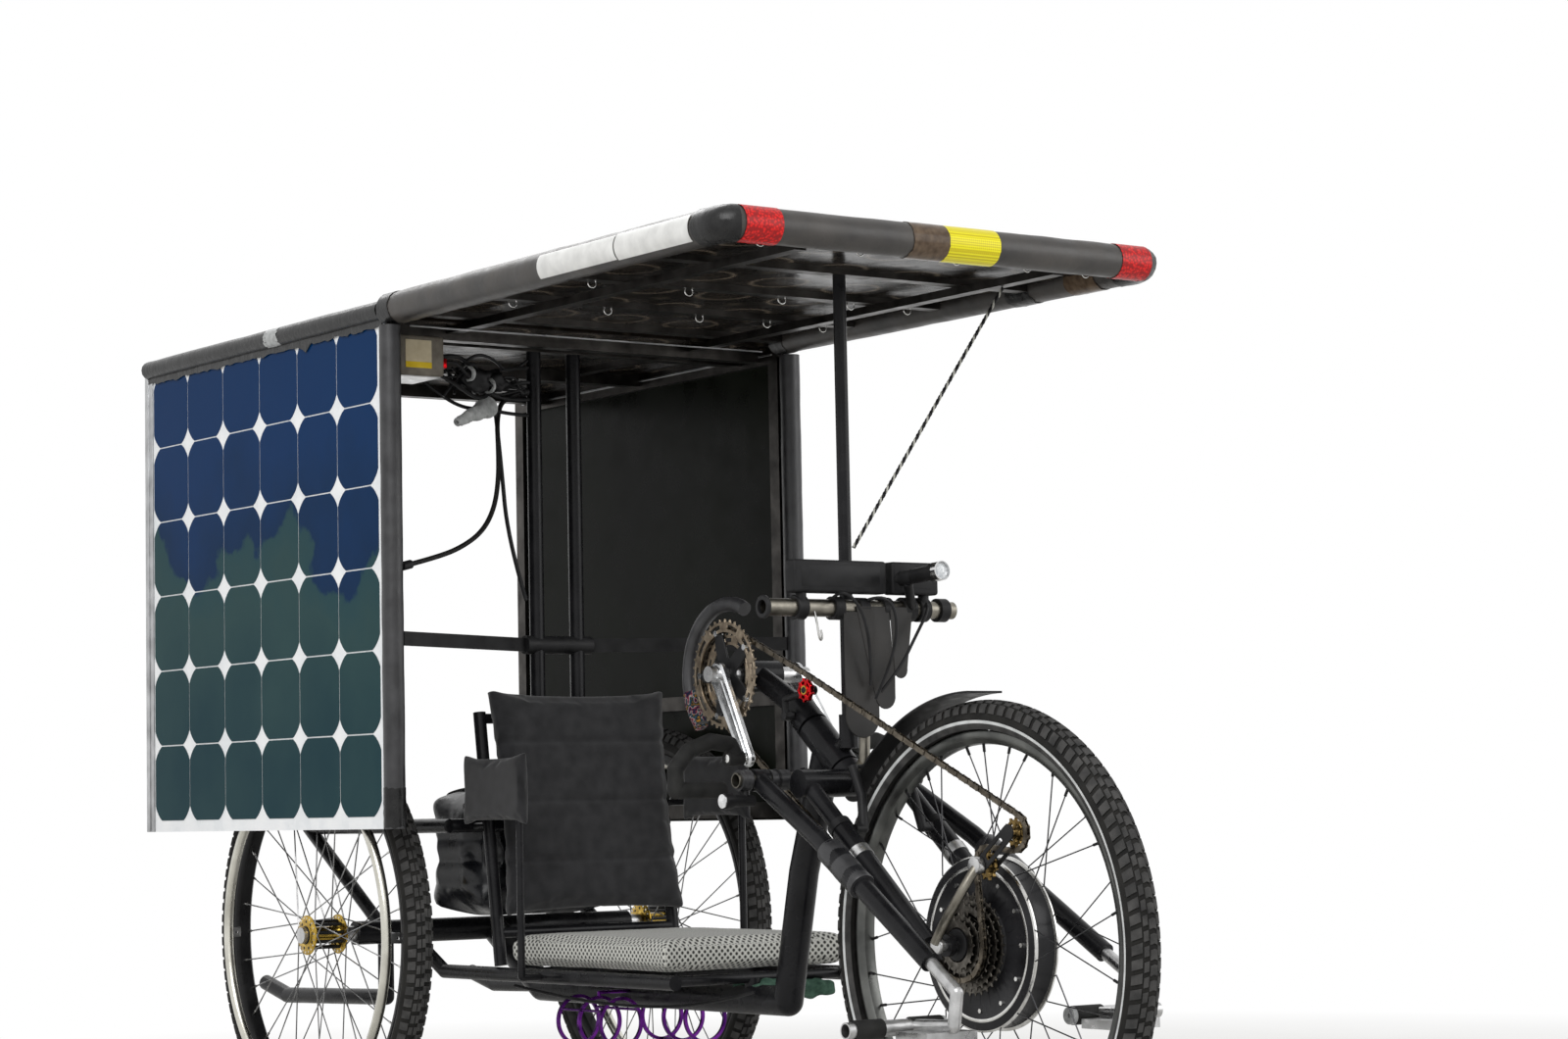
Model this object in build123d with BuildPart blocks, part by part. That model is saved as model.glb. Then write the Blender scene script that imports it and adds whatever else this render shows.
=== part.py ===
# Hand-cranked recumbent trike with a roof and two side walls of solar panels.
# Millimetres. Forward is -Y, up is +Z, the rider's left is +X.
# The origin is on the ground, below the middle of the whole vehicle.
from build123d import *
import math
import os

os.makedirs("parts", exist_ok=True)

# Wheels
WHEEL_R = 330.0
TYRE_W_FRONT = 50.0
TYRE_W_REAR = 46.0
WHEELBASE = 1300.0
TRACK = 640.0
FRONT_AXLE_Y = -742.5
TYRE_DEPTH = 41.0
RIM_DEPTH = 20.0
RIM_W = 28.0
SPOKE_R = 1.3
SPOKES_PER_SIDE = 12
RUN_GAP = 0.3
PUSH_RIM_R = 266.0
PUSH_RIM_TUBE_R = 8.0
PUSH_RIM_OUT = 33.0
PUSH_RIM_TABS = 6
FLANGE_R = 32.0
FLANGE_X = 28.0
FLANGE_T = 4.0
HUB_R = 15.0
REAR_AXLE_R = 8.0
MOTOR_R = 119.0
MOTOR_HALF_W = 22.0
FRONT_AXLE_R = 7.0
FRONT_AXLE_HALF_L = 88.0
DROPOUT_X = 70.0
DROPOUT_T = 9.0
DROPOUT_R = 15.0
MUDGUARD_GAP = 9.0
MUDGUARD_T = 3.0
MUDGUARD_W = 62.0
MUDGUARD_SWEEP = 52.0
BRAKE_ARM_R = 7.0
BRAKE_ARCH_R = 3.0
BRAKE_ARCH_TILT = 5.0
BRAKE_FOOT_P = 6.0
BRAKE_FOOT_A = 262.0
BRAKE_ELBOW_P = 34.0
BRAKE_ELBOW_A = 300.0
TAB_R = 3.0
TAB_FOOT = 7.0
SPOKE_RIM_X = 5.0
SPOKE_END_GAP = 0.4
HUB_END = 3.0
MOTOR_CAP_R = 52.0
MOTOR_CAP_T = 14.0
COG_CARRIER_R = 60.0
COG_CARRIER_T = 6.0
FREEHUB_R = 24.0
FREEHUB_X = 62.0
COG_T = 2.0

# Steering head, measured along the steering axis from the foot of the front hub
STEER_ANGLE = 40.0
FORK_OFFSET = 20.6
CROWN_A = 356.0
CROWN_T = 28.0
CROWN_R = 20.0
LEG_X = 84.0
STANCHION_R = 13.0
LOWER_LEG_R = 16.0
LOWER_LEG_TOP = 270.0
LOWER_LEG_FOOT = 24.0
HEAD_TUBE_A = 402.0
HEAD_TUBE_L = 92.0
HEAD_TUBE_R = 24.0
STEERER_R = 14.3
STEERER_TOP = 540.0
MAST_CLAMP_A = 499.0
MAST_CLAMP_TOP = 552.0
MAST_R = 17.0
BEARING_GAP = 4.0
CROWN_END = 4.0
STANCHION_DIP = 20.0
STANCHION_TOP = 6.0
DROPOUT_LINK_R = 6.0
DROPOUT_LINK_UP = 12.0
PRESS_GAP = 0.1

# Hand cranks
BB_A = 656.0
BB_P = -25.0
BB_SHELL_R = 21.0
BB_SHELL_HALF_W = 34.0
BB_AXLE_R = 12.0
CRANK_L = 155.0
CRANK_X = 84.0
CRANK_T = 13.0
CRANK_FORWARD = 35.6
CRANK_EYE_R = 19.0
CRANK_TIP_R = 13.0
CHAIN_X = 52.0
OUTER_RING_R = 82.0
OUTER_RING_HOLE_R = 64.0
OUTER_RING_X = 60.0
INNER_RING_R = 62.0
INNER_RING_HOLE_R = 45.0
RING_T = 3.0
SPIDER_T = 2.5
SPIDER_R = 24.0
SPIDER_REACH = 72.0
SPIDER_ARM_W = 13.0
SPIDER_ARMS = 5
RING_BOLT_R = 5.0
SPINDLE_R = 6.0
HANDLE_BOSS_R = 11.0
HANDLE_BOSS_X = 96.0
HANDLE_BOSS_W = 26.0
HANDLE_R = 12.0
GRIP_DROP = 45.0
GRIP_IN_X = 130.0
GRIP_OUT_X = 212.0
GRIP_BORE_R = 8.0
GRIP_BORE_L = 30.0

# Chain, derailleur and idler
CHAIN_H = 8.0
CHAIN_W = 7.0
CHAIN_GAP = 0.4
COG_R = 48.0
BIG_COG_R = 70.0
PULLEY_R = 20.0
PULLEY_T = 6.0
IDLER_R = 17.0
IDLER_T = 8.0
IDLER_Y = 340.0
IDLER_Z = 686.0
IDLER_ARM_R = 5.0
IDLER_ARM_X = 12.0
IDLER_BOLT_R = 7.0
IDLER_FOOT_P = 2.0
IDLER_FOOT_A = 522.0
UPPER_PULLEY_Y = -120.0
UPPER_PULLEY_Z = 480.0
GUIDE_PULLEY_Y = -62.0
GUIDE_PULLEY_Z = 437.0
CAGE_PLATE_X = 12.0
CAGE_PLATE_T = 3.0
CAGE_PLATE_R = 11.0
PULLEY_BOLT_R = 5.0
HANGER_R = 7.0
HANGER_BOLT_R = 11.0
HANGER_T = 8.0
GUARD_R = 104.0
GUARD_FOAM_R = 11.0
GUARD_START = -45.0
GUARD_SWEEP = 160.0
GUARD_STRUT_X = 26.0
GUARD_STRUT_R = 3.5

# Roof and walls of solar panels
ROOF_Z = 1296.0
ROOF_FRONT_Y = 60.0
ROOF_MID_Y = 955.0
ROOF_REAR_Y = 1815.0
ROOF_HALF_W = 371.0
ROOF_FOAM_R = 25.0
PANEL_T = 6.0
REAR_ROOF_T = 24.0
ROOF_STRIP_W = 24.0
ROOF_STRIP_T = 10.0
ROOF_SPLIT_Y = ROOF_MID_Y + 16.0
ROOF_RAIL_X = 230.0
ROOF_RAIL_W = 20.0
ROOF_RAIL_T = 12.0
ROOF_BAR_W = 24.0
ROOF_BAR_T = 20.0
ROOF_STRIPS_Y = (520.0, 740.0, 940.0)
ROOF_BARS_Y = (1035.0, 1400.0)
WALL_OUT = 9.0
CELL_PITCH = 128.0
WALL_CELLS = 6
WALL_FRONT_Y = 973.0
WALL_BORDER = 14.0
WALL_FRAME_T = 7.0
WALL_FRAME_W = 26.0
POST_FOAM_R = 17.0
FRONT_POST_Y = 309.0
FRONT_POST_R = 9.5
FRONT_POST_FOOT_Z = 606.0
POST_SOCKET_R = 14.0
STAY_R = 3.0
STAY_Z = 890.0
REAR_MAST_X = 38.0
REAR_MAST_Y = 1090.0
REAR_MAST_R = 12.0

# Seat and lower frame
SEAT_HALF_W = 190.0
SEAT_FRONT_Y = 520.0
SEAT_REAR_Y = 990.0
RAIL_Z = 268.0
RAIL_X = 165.0
RAIL_R = 11.0
CUSHION_T = 47.0
SOFT_GAP = 0.6
BACK_FOOT_Y = 1008.0
BACK_FOOT_Z = 292.0
BACK_LEAN = 8.0
BACK_H = 390.0
BACK_PAD_FOOT = 46.0
BACK_T = 42.0
BACK_TUBE_R = 10.0
BACK_BARS_UP = (40.0, 210.0, 380.0)
BACK_BAR_R = 8.0
BACK_STAY_R = 5.0
BACK_CORNER_R = 40.0
BOOM_R = 22.0
BOOM_Z = 236.0
BOOM_BEND_Y = 425.0
BOOM_BEND_Z = 425.0
BOOM_LOW_Y = 470.0
BOOM_RISE_L = 150.0
RAIL_RISE_L = 120.0
CROSS_TUBES_Y = (560.0, 780.0, 1000.0)
CROSS_TUBE_R = 8.0
CROSS_POST_R = 12.0
POST_SOCKET_FLOOR = 4.0
POST_SOCKET_H = 44.0
POST_LUG_R = 12.0
BAR_CLAMP_HALF_W = 22.0
AXLE_BEAM_R = 19.0
AXLE_BEAM_X = 262.0
AXLE_COLLAR_R = 12.0
AXLE_NUT_R = 13.0
AXLE_NUT_T = 7.0
STRUT_R = 8.0
TAIL_L = 420.0
TAIL_TIP_L = 80.0
TAIL_Z = 236.0
TAIL_KNEE_Z = 217.0
TAIL_BEND_Z = 225.0
FRAME_X = 205.0
FRAME_R = 11.0
UPPER_BAR_Z = 500.0
UPPER_BAR_L = 260.0
TAIL_R = 13.0
TAIL_WALL = 3.0
TAIL_BORE_L = 32.0
STRUT_Z = 700.0
BRACE_Z = 788.0
BRACE_W = 22.0
BRACE_T = 5.0
BRACE_COLLAR_R = 15.0
CONTROL_BOX_X = -262.0
CONTROL_BOX_Y = 990.0
CONTROL_BOX_W = 83.0
CONTROL_BOX_L = 100.0
CONTROL_BOX_H = 64.0
SUPPORT_X = 208.0
SUPPORT_Y = 945.0
SUPPORT_Z = 555.0
SUPPORT_L = 210.0
SUPPORT_H = 130.0
SUPPORT_T = 16.0
SUPPORT_R = 6.0
BACK_PAD_HALF_W = 180.0
BAG_HALF_W = 150.0
BAG_L = 188.0
BAG_ABOVE_BAR = 60.0
CAGE_X = 78.0
CAGE_Y = 800.0
CAGE_Z = 196.0
CAGE_R = 37.0
CAGE_L = 120.0
CAGE_HOOP_T = 5.0
CAGE_WIRE_R = 2.2
CAGE_STEM_R = 3.0
CAGE_STEM_H = 6.0

# Leg rest bar and footrests
BAR_A = 422.0
BAR_P = -35.6
BAR_LUG_R = 12.0
BAR_BARE_IN_X = 55.0
BAR_BARE_OUT_X = 76.0
BAR_R = 11.0
BAR_HALF_W = 165.0
BAR_BORE_L = 40.0
BAR_WALL = 2.0
BAR_FOAM_R = 15.0
CLAMP_R = 16.0
FOOT_BOOM_X = 125.0
FOOT_BOOM_R = 14.0
FOOT_SLEEVE_R = 19.0
FOOT_CLAMP_HALF_W = 12.0
FOOT_KNEE_Y = 200.0
FOOT_KNEE_Z = 474.0
FOOT_LOW_X = 152.0
FOOT_LOW_Y = -60.0
FOOT_LOW_Z = 312.0
FOOT_HOOK_R = 9.0
FOOT_PAD_W = 84.0
FOOT_PAD_T = 13.0
FOOT_TUBE_R = 11.0
FOOT_TUBE_X = 272.0
FOOT_TUBE_Y = -30.0
FOOT_TUBE_Z = 228.0

# Accessory bar above the fork crown
ACC_Y = 276.0
ACC_Z = 800.0
ACC_R = 12.7
ACC_HALF_W = 168.0
ACC_BORE_L = 40.0
ACC_WALL = 2.5
ACC_CLAMP_R = 17.7
CLAMP_GAP = 0.2
STEM_R = 8.0
DISPLAY_HALF_W = 130.0
DISPLAY_Z = 820.0
DISPLAY_H = 48.0
DISPLAY_D = 26.0
DISPLAY_CLAMP_X = 110.0
DISPLAY_CLAMP_W = 18.0
DISPLAY_LEG_R = 8.0
LAMP_X = 52.0
LAMP_UP = 42.0
LAMP_L = 98.0
LAMP_TILT = 6.0
LAMP_R = 11.0
LAMP_HEAD_R = 14.0
LAMP_HEAD_L = 26.0
FLAP_T = 3.0

REAR_AXLE_Y = FRONT_AXLE_Y + WHEELBASE
UPPER_BAR_Y = WHEELBASE + UPPER_BAR_L
WALL_X = ROOF_HALF_W + WALL_OUT
HUB_HALF_W = FLANGE_X + HUB_END
CARRIER_X = MOTOR_HALF_W + COG_CARRIER_T
WHEEL_X = TRACK / 2
RIM_R = WHEEL_R - TYRE_DEPTH
RIM_INNER_R = RIM_R - RIM_DEPTH
WALL_INNER_X = WALL_X - PANEL_T
REAR_ROOF_Z = ROOF_Z - REAR_ROOF_T / 2
WALL_TOP_Z = REAR_ROOF_Z
WALL_BOTTOM_Z = WALL_TOP_Z - WALL_BORDER - WALL_CELLS * CELL_PITCH - 4.0
WALL_REAR_Y = ROOF_REAR_Y - 6.0
cos_s = math.cos(math.radians(STEER_ANGLE))
sin_s = math.sin(math.radians(STEER_ANGLE))
FOOT_Y = FRONT_AXLE_Y + FORK_OFFSET * sin_s
FOOT_Z = WHEEL_R - FORK_OFFSET * cos_s


def at(x, y, z):
    """Point x to the left, y behind the front axle and z above the ground."""
    return Vector(x, FRONT_AXLE_Y + y, z)


def head(x, p, a):
    """Point a along the steering axis, p in front of it and x to the left."""
    return Vector(x, FOOT_Y + a * cos_s - p * sin_s, FOOT_Z + a * sin_s + p * cos_s)


def rod(start, end, radius, mode=Mode.ADD):
    """Round bar, or with Mode.SUBTRACT a round hole, from start to end."""
    line = end - start
    with Locations(Plane(origin=start, z_dir=line)):
        Cylinder(radius, line.length, align=(Align.CENTER, Align.CENTER, Align.MIN), mode=mode)


def bore(start, end, radius):
    """Round hole from start to end."""
    rod(start, end, radius, Mode.SUBTRACT)


def bent_bar(points, radius):
    """Round bar through points, with a ball at each bend."""
    for start, end in zip(points, points[1:]):
        rod(start, end, radius)
    for corner in points[1:-1]:
        with Locations(corner):
            Sphere(radius)


def block(low, high, mode=Mode.ADD):
    """Box from one corner to the opposite one."""
    size = high - low
    with Locations(low):
        Box(size.X, size.Y, size.Z, align=(Align.MIN, Align.MIN, Align.MIN), mode=mode)


def sides():
    """The rider's right and left, as the sign of X."""
    return (-1, 1)


def save(piece, name):
    """Label a finished piece and write it."""
    piece.part.label = name
    export_step(piece.part, "parts/" + name + ".step")


# Wheels: tyre, rim, spokes and hub
def side_name(side):
    """Right is -X, left is +X."""
    return "right" if side < 0 else "left"


def make_tyre(name, x, y, width):
    """Tyre with a round section, cut off flat where it sits on the rim."""
    plane = Plane(origin=(x, y, WHEEL_R), x_dir=(1, 0, 0), z_dir=(0, -1, 0))
    seat = RIM_R + RUN_GAP
    with BuildPart() as tyre:
        with BuildSketch(plane):
            with Locations((0, WHEEL_R - width / 2)):
                Circle(width / 2)
            with Locations((0, seat - width / 2)):
                Rectangle(2 * width, width, mode=Mode.SUBTRACT)
        revolve(axis=Axis((x, y, WHEEL_R), (1, 0, 0)))
    save(tyre, name)


def make_rim(name, x, y, push_side):
    """Rim ring; push_side is the sign of X of its push rim, or 0 for none."""
    centre = Vector(x, y, WHEEL_R)
    half = Vector(RIM_W / 2, 0, 0)
    with BuildPart() as rim:
        rod(centre - half, centre + half, RIM_R)
        bore(centre - half, centre + half, RIM_INNER_R)
        if push_side:
            ring_x = x + push_side * PUSH_RIM_OUT
            with Locations(Plane(origin=(ring_x, y, WHEEL_R), z_dir=(1, 0, 0))):
                Torus(PUSH_RIM_R, PUSH_RIM_TUBE_R)
            for tab in range(PUSH_RIM_TABS):
                turn = 2 * math.pi * (tab + 0.5) / PUSH_RIM_TABS
                out = Vector(0, math.sin(turn), math.cos(turn))
                foot = centre + out * (RIM_INNER_R + TAB_FOOT) + Vector(push_side * (RIM_W / 2 - TAB_R), 0, 0)
                tip = Vector(ring_x, y, WHEEL_R) + out * PUSH_RIM_R
                rod(foot, tip, TAB_R)
    save(rim, name)


def make_spokes(name, x, y, hub_r, hub_x):
    """Two cones of spokes between the hub flanges and the rim."""
    centre = Vector(x, y, WHEEL_R)
    with BuildPart() as spokes:
        for side in sides():
            for count in range(SPOKES_PER_SIDE):
                turn = 2 * math.pi * (count + 0.25 * side) / SPOKES_PER_SIDE
                out = Vector(0, math.sin(turn), math.cos(turn))
                foot = centre + out * (hub_r + SPOKE_END_GAP) + Vector(side * hub_x, 0, 0)
                tip = centre + out * (RIM_INNER_R - SPOKE_END_GAP) + Vector(side * SPOKE_RIM_X, 0, 0)
                rod(foot, tip, SPOKE_R)
    save(spokes, name)


make_tyre("front_tyre", 0, FRONT_AXLE_Y, TYRE_W_FRONT)
make_rim("front_rim", 0, FRONT_AXLE_Y, 0)
make_spokes("front_spokes", 0, FRONT_AXLE_Y, MOTOR_R, MOTOR_HALF_W - FLANGE_T / 2)

for side in sides():
    name = side_name(side)
    wheel_x = side * WHEEL_X
    make_tyre("rear_tyre_" + name, wheel_x, REAR_AXLE_Y, TYRE_W_REAR)
    make_rim("rear_rim_" + name, wheel_x, REAR_AXLE_Y, side)
    make_spokes("rear_spokes_" + name, wheel_x, REAR_AXLE_Y, FLANGE_R, FLANGE_X)
    with BuildPart() as rear_hub:
        hub = Vector(wheel_x, REAR_AXLE_Y, WHEEL_R)
        hub_end = Vector(HUB_HALF_W, 0, 0)
        rod(hub - hub_end, hub + hub_end, HUB_R)
        for flange in sides():
            middle = hub + Vector(flange * FLANGE_X, 0, 0)
            rod(middle - Vector(FLANGE_T / 2, 0, 0), middle + Vector(FLANGE_T / 2, 0, 0), FLANGE_R)
        bore(hub - hub_end, hub + hub_end, REAR_AXLE_R + RUN_GAP)
    save(rear_hub, "rear_hub_" + name)

with BuildPart() as hub_motor:
    rod(at(-MOTOR_HALF_W, 0, WHEEL_R), at(MOTOR_HALF_W, 0, WHEEL_R), MOTOR_R)
    rod(at(MOTOR_HALF_W, 0, WHEEL_R), at(MOTOR_HALF_W + MOTOR_CAP_T, 0, WHEEL_R), MOTOR_CAP_R)
    rod(at(-CARRIER_X, 0, WHEEL_R), at(-MOTOR_HALF_W, 0, WHEEL_R), COG_CARRIER_R)
    bore(at(-DROPOUT_X, 0, WHEEL_R), at(DROPOUT_X, 0, WHEEL_R), FRONT_AXLE_R + RUN_GAP)
save(hub_motor, "hub_motor")

COG_ROWS = (
    # distance to the right of the middle, tip radius
    (33.0, BIG_COG_R),
    (39.0, 64.0),
    (45.0, 57.0),
    (CHAIN_X, COG_R - CHAIN_H / 2 - CHAIN_GAP),
    (58.0, 37.0),
)
with BuildPart() as cassette:
    rod(at(-FREEHUB_X, 0, WHEEL_R), at(-CARRIER_X, 0, WHEEL_R), FREEHUB_R)
    for cog_x, cog_r in COG_ROWS:
        rod(at(-cog_x - COG_T / 2, 0, WHEEL_R), at(-cog_x + COG_T / 2, 0, WHEEL_R), cog_r)
    bore(at(-DROPOUT_X, 0, WHEEL_R), at(DROPOUT_X, 0, WHEEL_R), FRONT_AXLE_R + RUN_GAP)
save(cassette, "cassette")

# Fork, front axle and crank mast
with BuildPart() as fork:
    crown_end = Vector(LEG_X + STANCHION_R + CROWN_END, 0, 0)
    crown = head(0, 0, CROWN_A + CROWN_T / 2)
    stanchion_top = CROWN_A + CROWN_T + STANCHION_TOP
    rod(crown - crown_end, crown + crown_end, CROWN_R)
    rod(head(0, 0, CROWN_A), head(0, 0, STEERER_TOP), STEERER_R)
    rod(head(0, 0, CROWN_A), head(0, 0, HEAD_TUBE_A - BEARING_GAP), HEAD_TUBE_R)
    for side in sides():
        leg_x = side * LEG_X
        rod(head(leg_x, 0, LOWER_LEG_TOP - STANCHION_DIP), head(leg_x, 0, stanchion_top), STANCHION_R)
        rod(head(leg_x, 0, LOWER_LEG_FOOT), head(leg_x, 0, LOWER_LEG_TOP), LOWER_LEG_R)
        inner, outer = side * DROPOUT_X, side * (DROPOUT_X + DROPOUT_T)
        rod(head(inner, FORK_OFFSET, 0), head(outer, FORK_OFFSET, 0), DROPOUT_R)
        dropout = head((inner + outer) / 2, FORK_OFFSET, 0)
        leg_foot = head(leg_x, 0, LOWER_LEG_FOOT + DROPOUT_LINK_UP)
        link_start = dropout + (leg_foot - dropout).normalized() * (DROPOUT_R - DROPOUT_LINK_R / 2)
        rod(link_start, leg_foot, DROPOUT_LINK_R)
    bore(head(-LEG_X, FORK_OFFSET, 0), head(LEG_X, FORK_OFFSET, 0), FRONT_AXLE_R + PRESS_GAP)
save(fork, "fork")

with BuildPart() as front_axle:
    rod(at(-FRONT_AXLE_HALF_L, 0, WHEEL_R), at(FRONT_AXLE_HALF_L, 0, WHEEL_R), FRONT_AXLE_R)
save(front_axle, "front_axle")

bb = head(0, BB_P, BB_A)
with BuildPart() as crank_mast:
    shell_end = Vector(BB_SHELL_HALF_W, 0, 0)
    rod(head(0, 0, MAST_CLAMP_A), head(0, 0, MAST_CLAMP_TOP), HEAD_TUBE_R)
    rod(head(0, 0, (STEERER_TOP + MAST_CLAMP_TOP) / 2), bb, MAST_R)
    rod(bb - shell_end, bb + shell_end, BB_SHELL_R)
    bore(bb - shell_end, bb + shell_end, BB_AXLE_R + RUN_GAP)
    bore(head(0, 0, MAST_CLAMP_A), head(0, 0, STEERER_TOP + RUN_GAP), STEERER_R + PRESS_GAP)
save(crank_mast, "crank_mast")

# Hand cranks, chainrings and handles
ring_plane = Plane(origin=bb, x_dir=(0, 1, 0), z_dir=(1, 0, 0))
crank_turn = math.radians(CRANK_FORWARD)
tip_y = -CRANK_L * math.sin(crank_turn)
tip_z = -CRANK_L * math.cos(crank_turn)

with BuildPart() as crank_arms:
    reach = Vector(CRANK_X + CRANK_T / 2, 0, 0)
    rod(bb - reach, bb + reach, BB_AXLE_R)
    for side in sides():
        low_x = side * CRANK_X - CRANK_T / 2
        with BuildSketch(ring_plane.offset(low_x)):
            Circle(CRANK_EYE_R)
            with Locations((tip_y, tip_z)):
                Circle(CRANK_TIP_R)
            make_hull()
        extrude(amount=CRANK_T)
        pivot = bb + Vector(side * CRANK_X, tip_y, tip_z)
        rod(pivot, pivot + Vector(side * (HANDLE_BOSS_X - CRANK_X + HANDLE_BOSS_W), 0, 0), SPINDLE_R)
save(crank_arms, "crank_arms")

with BuildPart() as chainrings:
    for ring_x, outer, inner in ((OUTER_RING_X, OUTER_RING_R, OUTER_RING_HOLE_R),
                                 (CHAIN_X, INNER_RING_R, INNER_RING_HOLE_R)):
        with BuildSketch(ring_plane.offset(-ring_x - RING_T / 2)):
            Circle(outer)
            Circle(inner, mode=Mode.SUBTRACT)
        extrude(amount=RING_T)
    spider_x = OUTER_RING_X - RING_T / 2
    with BuildSketch(ring_plane.offset(-spider_x)):
        Circle(SPIDER_R)
        with PolarLocations(0, SPIDER_ARMS):
            with Locations((SPIDER_REACH / 2, 0)):
                Rectangle(SPIDER_REACH, SPIDER_ARM_W)
        Circle(BB_AXLE_R + RUN_GAP, mode=Mode.SUBTRACT)
    extrude(amount=SPIDER_T)
    with BuildSketch(ring_plane.offset(-spider_x + SPIDER_T)):
        with PolarLocations((INNER_RING_R + INNER_RING_HOLE_R) / 2, SPIDER_ARMS):
            Circle(RING_BOLT_R)
    extrude(amount=spider_x - SPIDER_T - CHAIN_X - RING_T / 2)
save(chainrings, "chainrings")

ARCH_POINTS = (
    # distance from the middle, height above the spindle
    (108, 6), (116, 20), (150, 25), (188, 12), (GRIP_OUT_X, -14), (GRIP_OUT_X, -GRIP_DROP),
    (GRIP_IN_X, -GRIP_DROP),
)
pivot = bb + Vector(0, tip_y, tip_z)
with BuildPart() as handle_right:
    boss_end = pivot - Vector(HANDLE_BOSS_X + HANDLE_BOSS_W, 0, 0)
    rod(pivot - Vector(HANDLE_BOSS_X, 0, 0), boss_end, HANDLE_BOSS_R)
    bent_bar([pivot + Vector(-x, 0, z) for x, z in ARCH_POINTS], HANDLE_R)
    bore(pivot, boss_end, SPINDLE_R + RUN_GAP)
    grip_end = pivot - Vector(GRIP_IN_X, 0, GRIP_DROP)
    bore(grip_end, grip_end - Vector(GRIP_BORE_L, 0, 0), GRIP_BORE_R)
save(handle_right, "handle_right")

with BuildPart() as handle_left:
    add(mirror(handle_right.part, about=Plane.YZ))
save(handle_left, "handle_left")

# Chain: runs between sprockets, in a plane to the right of the middle
CHAIN_SEAT = CHAIN_H / 2 + CHAIN_GAP
CHAIN_WHEELS = (
    # y behind the front axle, z, pitch radius, turn: 1 anticlockwise seen from the left
    (bb.Y - FRONT_AXLE_Y, bb.Z, INNER_RING_R + CHAIN_SEAT, 1),
    (IDLER_Y, IDLER_Z, IDLER_R + CHAIN_SEAT, 1),
    (UPPER_PULLEY_Y, UPPER_PULLEY_Z, PULLEY_R + CHAIN_SEAT, 1),
    (GUIDE_PULLEY_Y, GUIDE_PULLEY_Z, PULLEY_R + CHAIN_SEAT, -1),
    (0.0, WHEEL_R, COG_R, 1),
)


def tangent(first, second):
    """Ends of the chain run that leaves one sprocket and meets the next."""
    y1, z1, r1, turn1 = first
    y2, z2, r2, turn2 = second
    r1, r2 = r1 * turn1, r2 * turn2
    gap_y, gap_z = y2 - y1, z2 - z1
    gap = math.hypot(gap_y, gap_z)
    tilt = math.atan2(gap_z, gap_y) - math.acos((r1 - r2) / gap)
    way = (math.cos(tilt), math.sin(tilt))
    return (y1 + r1 * way[0], z1 + r1 * way[1]), (y2 + r2 * way[0], z2 + r2 * way[1])


chain_plane = Plane(origin=(-CHAIN_X - CHAIN_W / 2, FRONT_AXLE_Y, 0), x_dir=(0, 1, 0), z_dir=(1, 0, 0))
runs = []
for count, wheel in enumerate(CHAIN_WHEELS):
    runs.append(tangent(wheel, CHAIN_WHEELS[(count + 1) % len(CHAIN_WHEELS)]))
with BuildPart() as chain:
    with BuildSketch(chain_plane):
        for count, (start, end) in enumerate(runs):
            length = math.hypot(end[0] - start[0], end[1] - start[1])
            tilt = math.degrees(math.atan2(end[1] - start[1], end[0] - start[0]))
            middle = ((start[0] + end[0]) / 2, (start[1] + end[1]) / 2)
            with Locations(Location(middle, tilt)):
                Rectangle(length, CHAIN_H)
        for count, (wheel_y, wheel_z, radius, turn) in enumerate(CHAIN_WHEELS):
            came, left = runs[count - 1][1], runs[count][0]
            with BuildLine():
                first = math.degrees(math.atan2(came[1] - wheel_z, came[0] - wheel_y))
                last = math.degrees(math.atan2(left[1] - wheel_z, left[0] - wheel_y))
                sweep_angle = (last - first) % 360 if turn > 0 else -((first - last) % 360)
                outer = CenterArc((wheel_y, wheel_z), radius + CHAIN_H / 2, first, sweep_angle)
                inner = CenterArc((wheel_y, wheel_z), radius - CHAIN_H / 2, first, sweep_angle)
                Line(outer @ 0, inner @ 0)
                Line(outer @ 1, inner @ 1)
            make_face()
    extrude(amount=CHAIN_W)
save(chain, "chain")

# Idler pulley on the mast, and the derailleur above the front hub
with BuildPart() as idler:
    idler_at = at(-CHAIN_X, IDLER_Y, IDLER_Z)
    idler_face = Vector(IDLER_T / 2, 0, 0)
    arm_x = CHAIN_X - IDLER_ARM_X
    foot_x = HEAD_TUBE_R + RUN_GAP
    rod(idler_at - idler_face, idler_at + idler_face, IDLER_R)
    rod(idler_at + idler_face, idler_at + Vector(IDLER_ARM_X + IDLER_T / 2, 0, 0), IDLER_BOLT_R)
    bent_bar([idler_at + Vector(IDLER_ARM_X, 0, 0), head(-arm_x + 2, 26, IDLER_FOOT_A + 15),
              head(-foot_x - IDLER_ARM_X, IDLER_FOOT_P, IDLER_FOOT_A)], IDLER_ARM_R)
    rod(head(-foot_x - IDLER_ARM_X - IDLER_ARM_R, IDLER_FOOT_P, IDLER_FOOT_A),
        head(-foot_x, IDLER_FOOT_P, IDLER_FOOT_A), IDLER_BOLT_R)
save(idler, "idler")

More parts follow.
